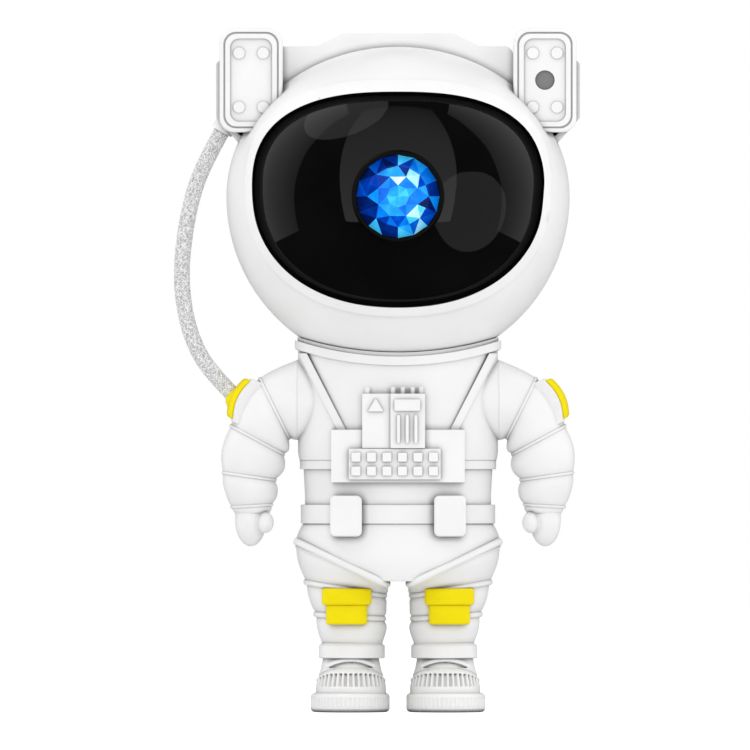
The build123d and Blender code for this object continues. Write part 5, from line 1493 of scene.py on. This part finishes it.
def lamp(name, azimuth, elevation, distance, rise, width, height, radiance, shape):
    """An area lamp that faces the visor from an azimuth, 0 in front, and an elevation, then raised."""
    data = bpy.data.lights.new(name, "AREA")
    data.shape = shape
    data.size = width
    data.size_y = height
    area = width * height * (1 if shape == "RECTANGLE" else pi / 4)
    data.energy = radiance * pi * area
    light = bpy.data.objects.new(name, data)
    bpy.context.scene.collection.objects.link(light)
    turn = radians(azimuth)
    lift = radians(elevation)
    away = Vector((sin(turn) * cos(lift), -cos(turn) * cos(lift), sin(lift)))
    facing = away.to_track_quat("Z", "Y")
    light.location = visor_centre + away * distance + facing @ Vector((0, rise, 0))
    light.rotation_euler = facing.to_euler()
    return light


# name, azimuth, elevation, distance, rise, width, height, radiance and shape
lamp_rows = (
    ("key", 0, 13, 0.8, 0.77, 1.3, 2.54, 0.42, "RECTANGLE"),
    ("left_pane", -100, 0, 1.02, 1.0, 1.0, 2.75, 0.6, "RECTANGLE"),
    ("right_pane", 100, 0, 1.02, 1.0, 1.0, 2.75, 0.64, "RECTANGLE"),
    ("disc", 51, -7, 1.0, 0, 1.0, 1.0, 0.4, "DISK"),
    ("oval", -78, 63, 1.0, 0, 0.8, 0.8, 0.5, "DISK"),
    ("top", 0, 85, 1.6, 0, 1.4, 1.4, 0.15, "RECTANGLE"),
)
lamps = {row[0]: lamp(*row) for row in lamp_rows}
lamps["top"].visible_glossy = False


def fade(light, side, first, last):
    """Makes a lamp's light go from a share to another, across it where side is 0 and upwards where 1."""
    light.data.use_nodes = True
    nodes = light.data.node_tree.nodes
    links = light.data.node_tree.links
    place = nodes.new("ShaderNodeNewGeometry")
    split = nodes.new("ShaderNodeSeparateXYZ")
    links.new(place.outputs["Parametric"], split.inputs[0])
    share = value_range(nodes, links, split.outputs[side], first, last)
    links.new(share, nodes["Emission"].inputs["Strength"])


fade(lamps["key"], side=1, first=1.7, last=0.3)
fade(lamps["left_pane"], side=0, first=1.6, last=0.4)
fade(lamps["right_pane"], side=0, first=0.4, last=1.6)
print("lamps:", list(lamps))

# %% [markdown]
# The room is grey for the light that it sends to matt surfaces, dark for what gloss mirrors, and white for
# the camera and through glass. The floor does the same, and keeps a share of its own shading for the
# camera, so that the figure's shadow shows on it.

# %% World and floor
room_grey = (0.79, 0.79, 0.79, 1)
mirrored_dark = 0.035
world = bpy.data.worlds.new("studio")
bpy.context.scene.world = world
world.use_nodes = True
world_nodes = world.node_tree.nodes
world_links = world.node_tree.links
room = world_nodes["Background"]
room.inputs["Color"].default_value = room_grey


def backdrop(colour):
    """A background of one colour."""
    shader = world_nodes.new("ShaderNodeBackground")
    shader.inputs["Color"].default_value = (colour, colour, colour, 1)
    return shader.outputs[0]


def choose(nodes, links, factor, first, second):
    """The second shader where a factor is 1, and the first elsewhere."""
    mix = nodes.new("ShaderNodeMixShader")
    links.new(factor, mix.inputs[0])
    links.new(first, mix.inputs[1])
    links.new(second, mix.inputs[2])
    return mix.outputs[0]


rays = world_nodes.new("ShaderNodeLightPath").outputs
scene_light = room.outputs[0]
for kind, light in (("Glossy", mirrored_dark), ("Transmission", 1.0), ("Camera", 1.0)):
    scene_light = choose(world_nodes, world_links, rays[f"Is {kind} Ray"], scene_light, backdrop(light))
world_links.new(scene_light, world_nodes["World Output"].inputs["Surface"])
bpy.context.scene.view_settings.view_transform = "Standard"

floor_size = 8
floor_shade = (0.84, 0.84, 0.84)
floor_pale = (0.87, 0.87, 0.87)
floor_glow = 1.3
floor_glow_share = 0.85
select_only(camera)
bpy.ops.mesh.primitive_plane_add(size=floor_size, location=(0, 0, 0))
floor = bpy.context.active_object
floor.name = "floor"
floor.visible_glossy = False
floor_material, floor_nodes, floor_links, floor_shader = new_material("pale_floor")
floor_shader.inputs["Roughness"].default_value = 0.9
floor_shader.inputs["Specular IOR Level"].default_value = 0.1
floor_grain = object_noise(floor_nodes, floor_links, 3)
floor_tone = colour_ramp(floor_nodes, floor_links, floor_grain, floor_shade, floor_pale)
floor_links.new(floor_tone, floor_shader.inputs["Base Color"])


def plain_light(strength):
    """White light from the floor itself."""
    shader = floor_nodes.new("ShaderNodeEmission")
    shader.inputs["Color"].default_value = (1, 1, 1, 1)
    shader.inputs["Strength"].default_value = strength
    return shader.outputs[0]


floor_rays = floor_nodes.new("ShaderNodeLightPath").outputs
glow_share = floor_nodes.new("ShaderNodeMath")
glow_share.operation = "MULTIPLY"
glow_share.inputs[1].default_value = floor_glow_share
floor_links.new(floor_rays["Is Camera Ray"], glow_share.inputs[0])
glow = plain_light(floor_glow)
floor_look = choose(floor_nodes, floor_links, glow_share.outputs[0], floor_shader.outputs[0], glow)
floor_output = next(node for node in floor_nodes if node.type == "OUTPUT_MATERIAL")
floor_links.new(floor_look, floor_output.inputs["Surface"])
floor.data.materials.append(floor_material)
print("floor", floor_glow_share, "of its own light")
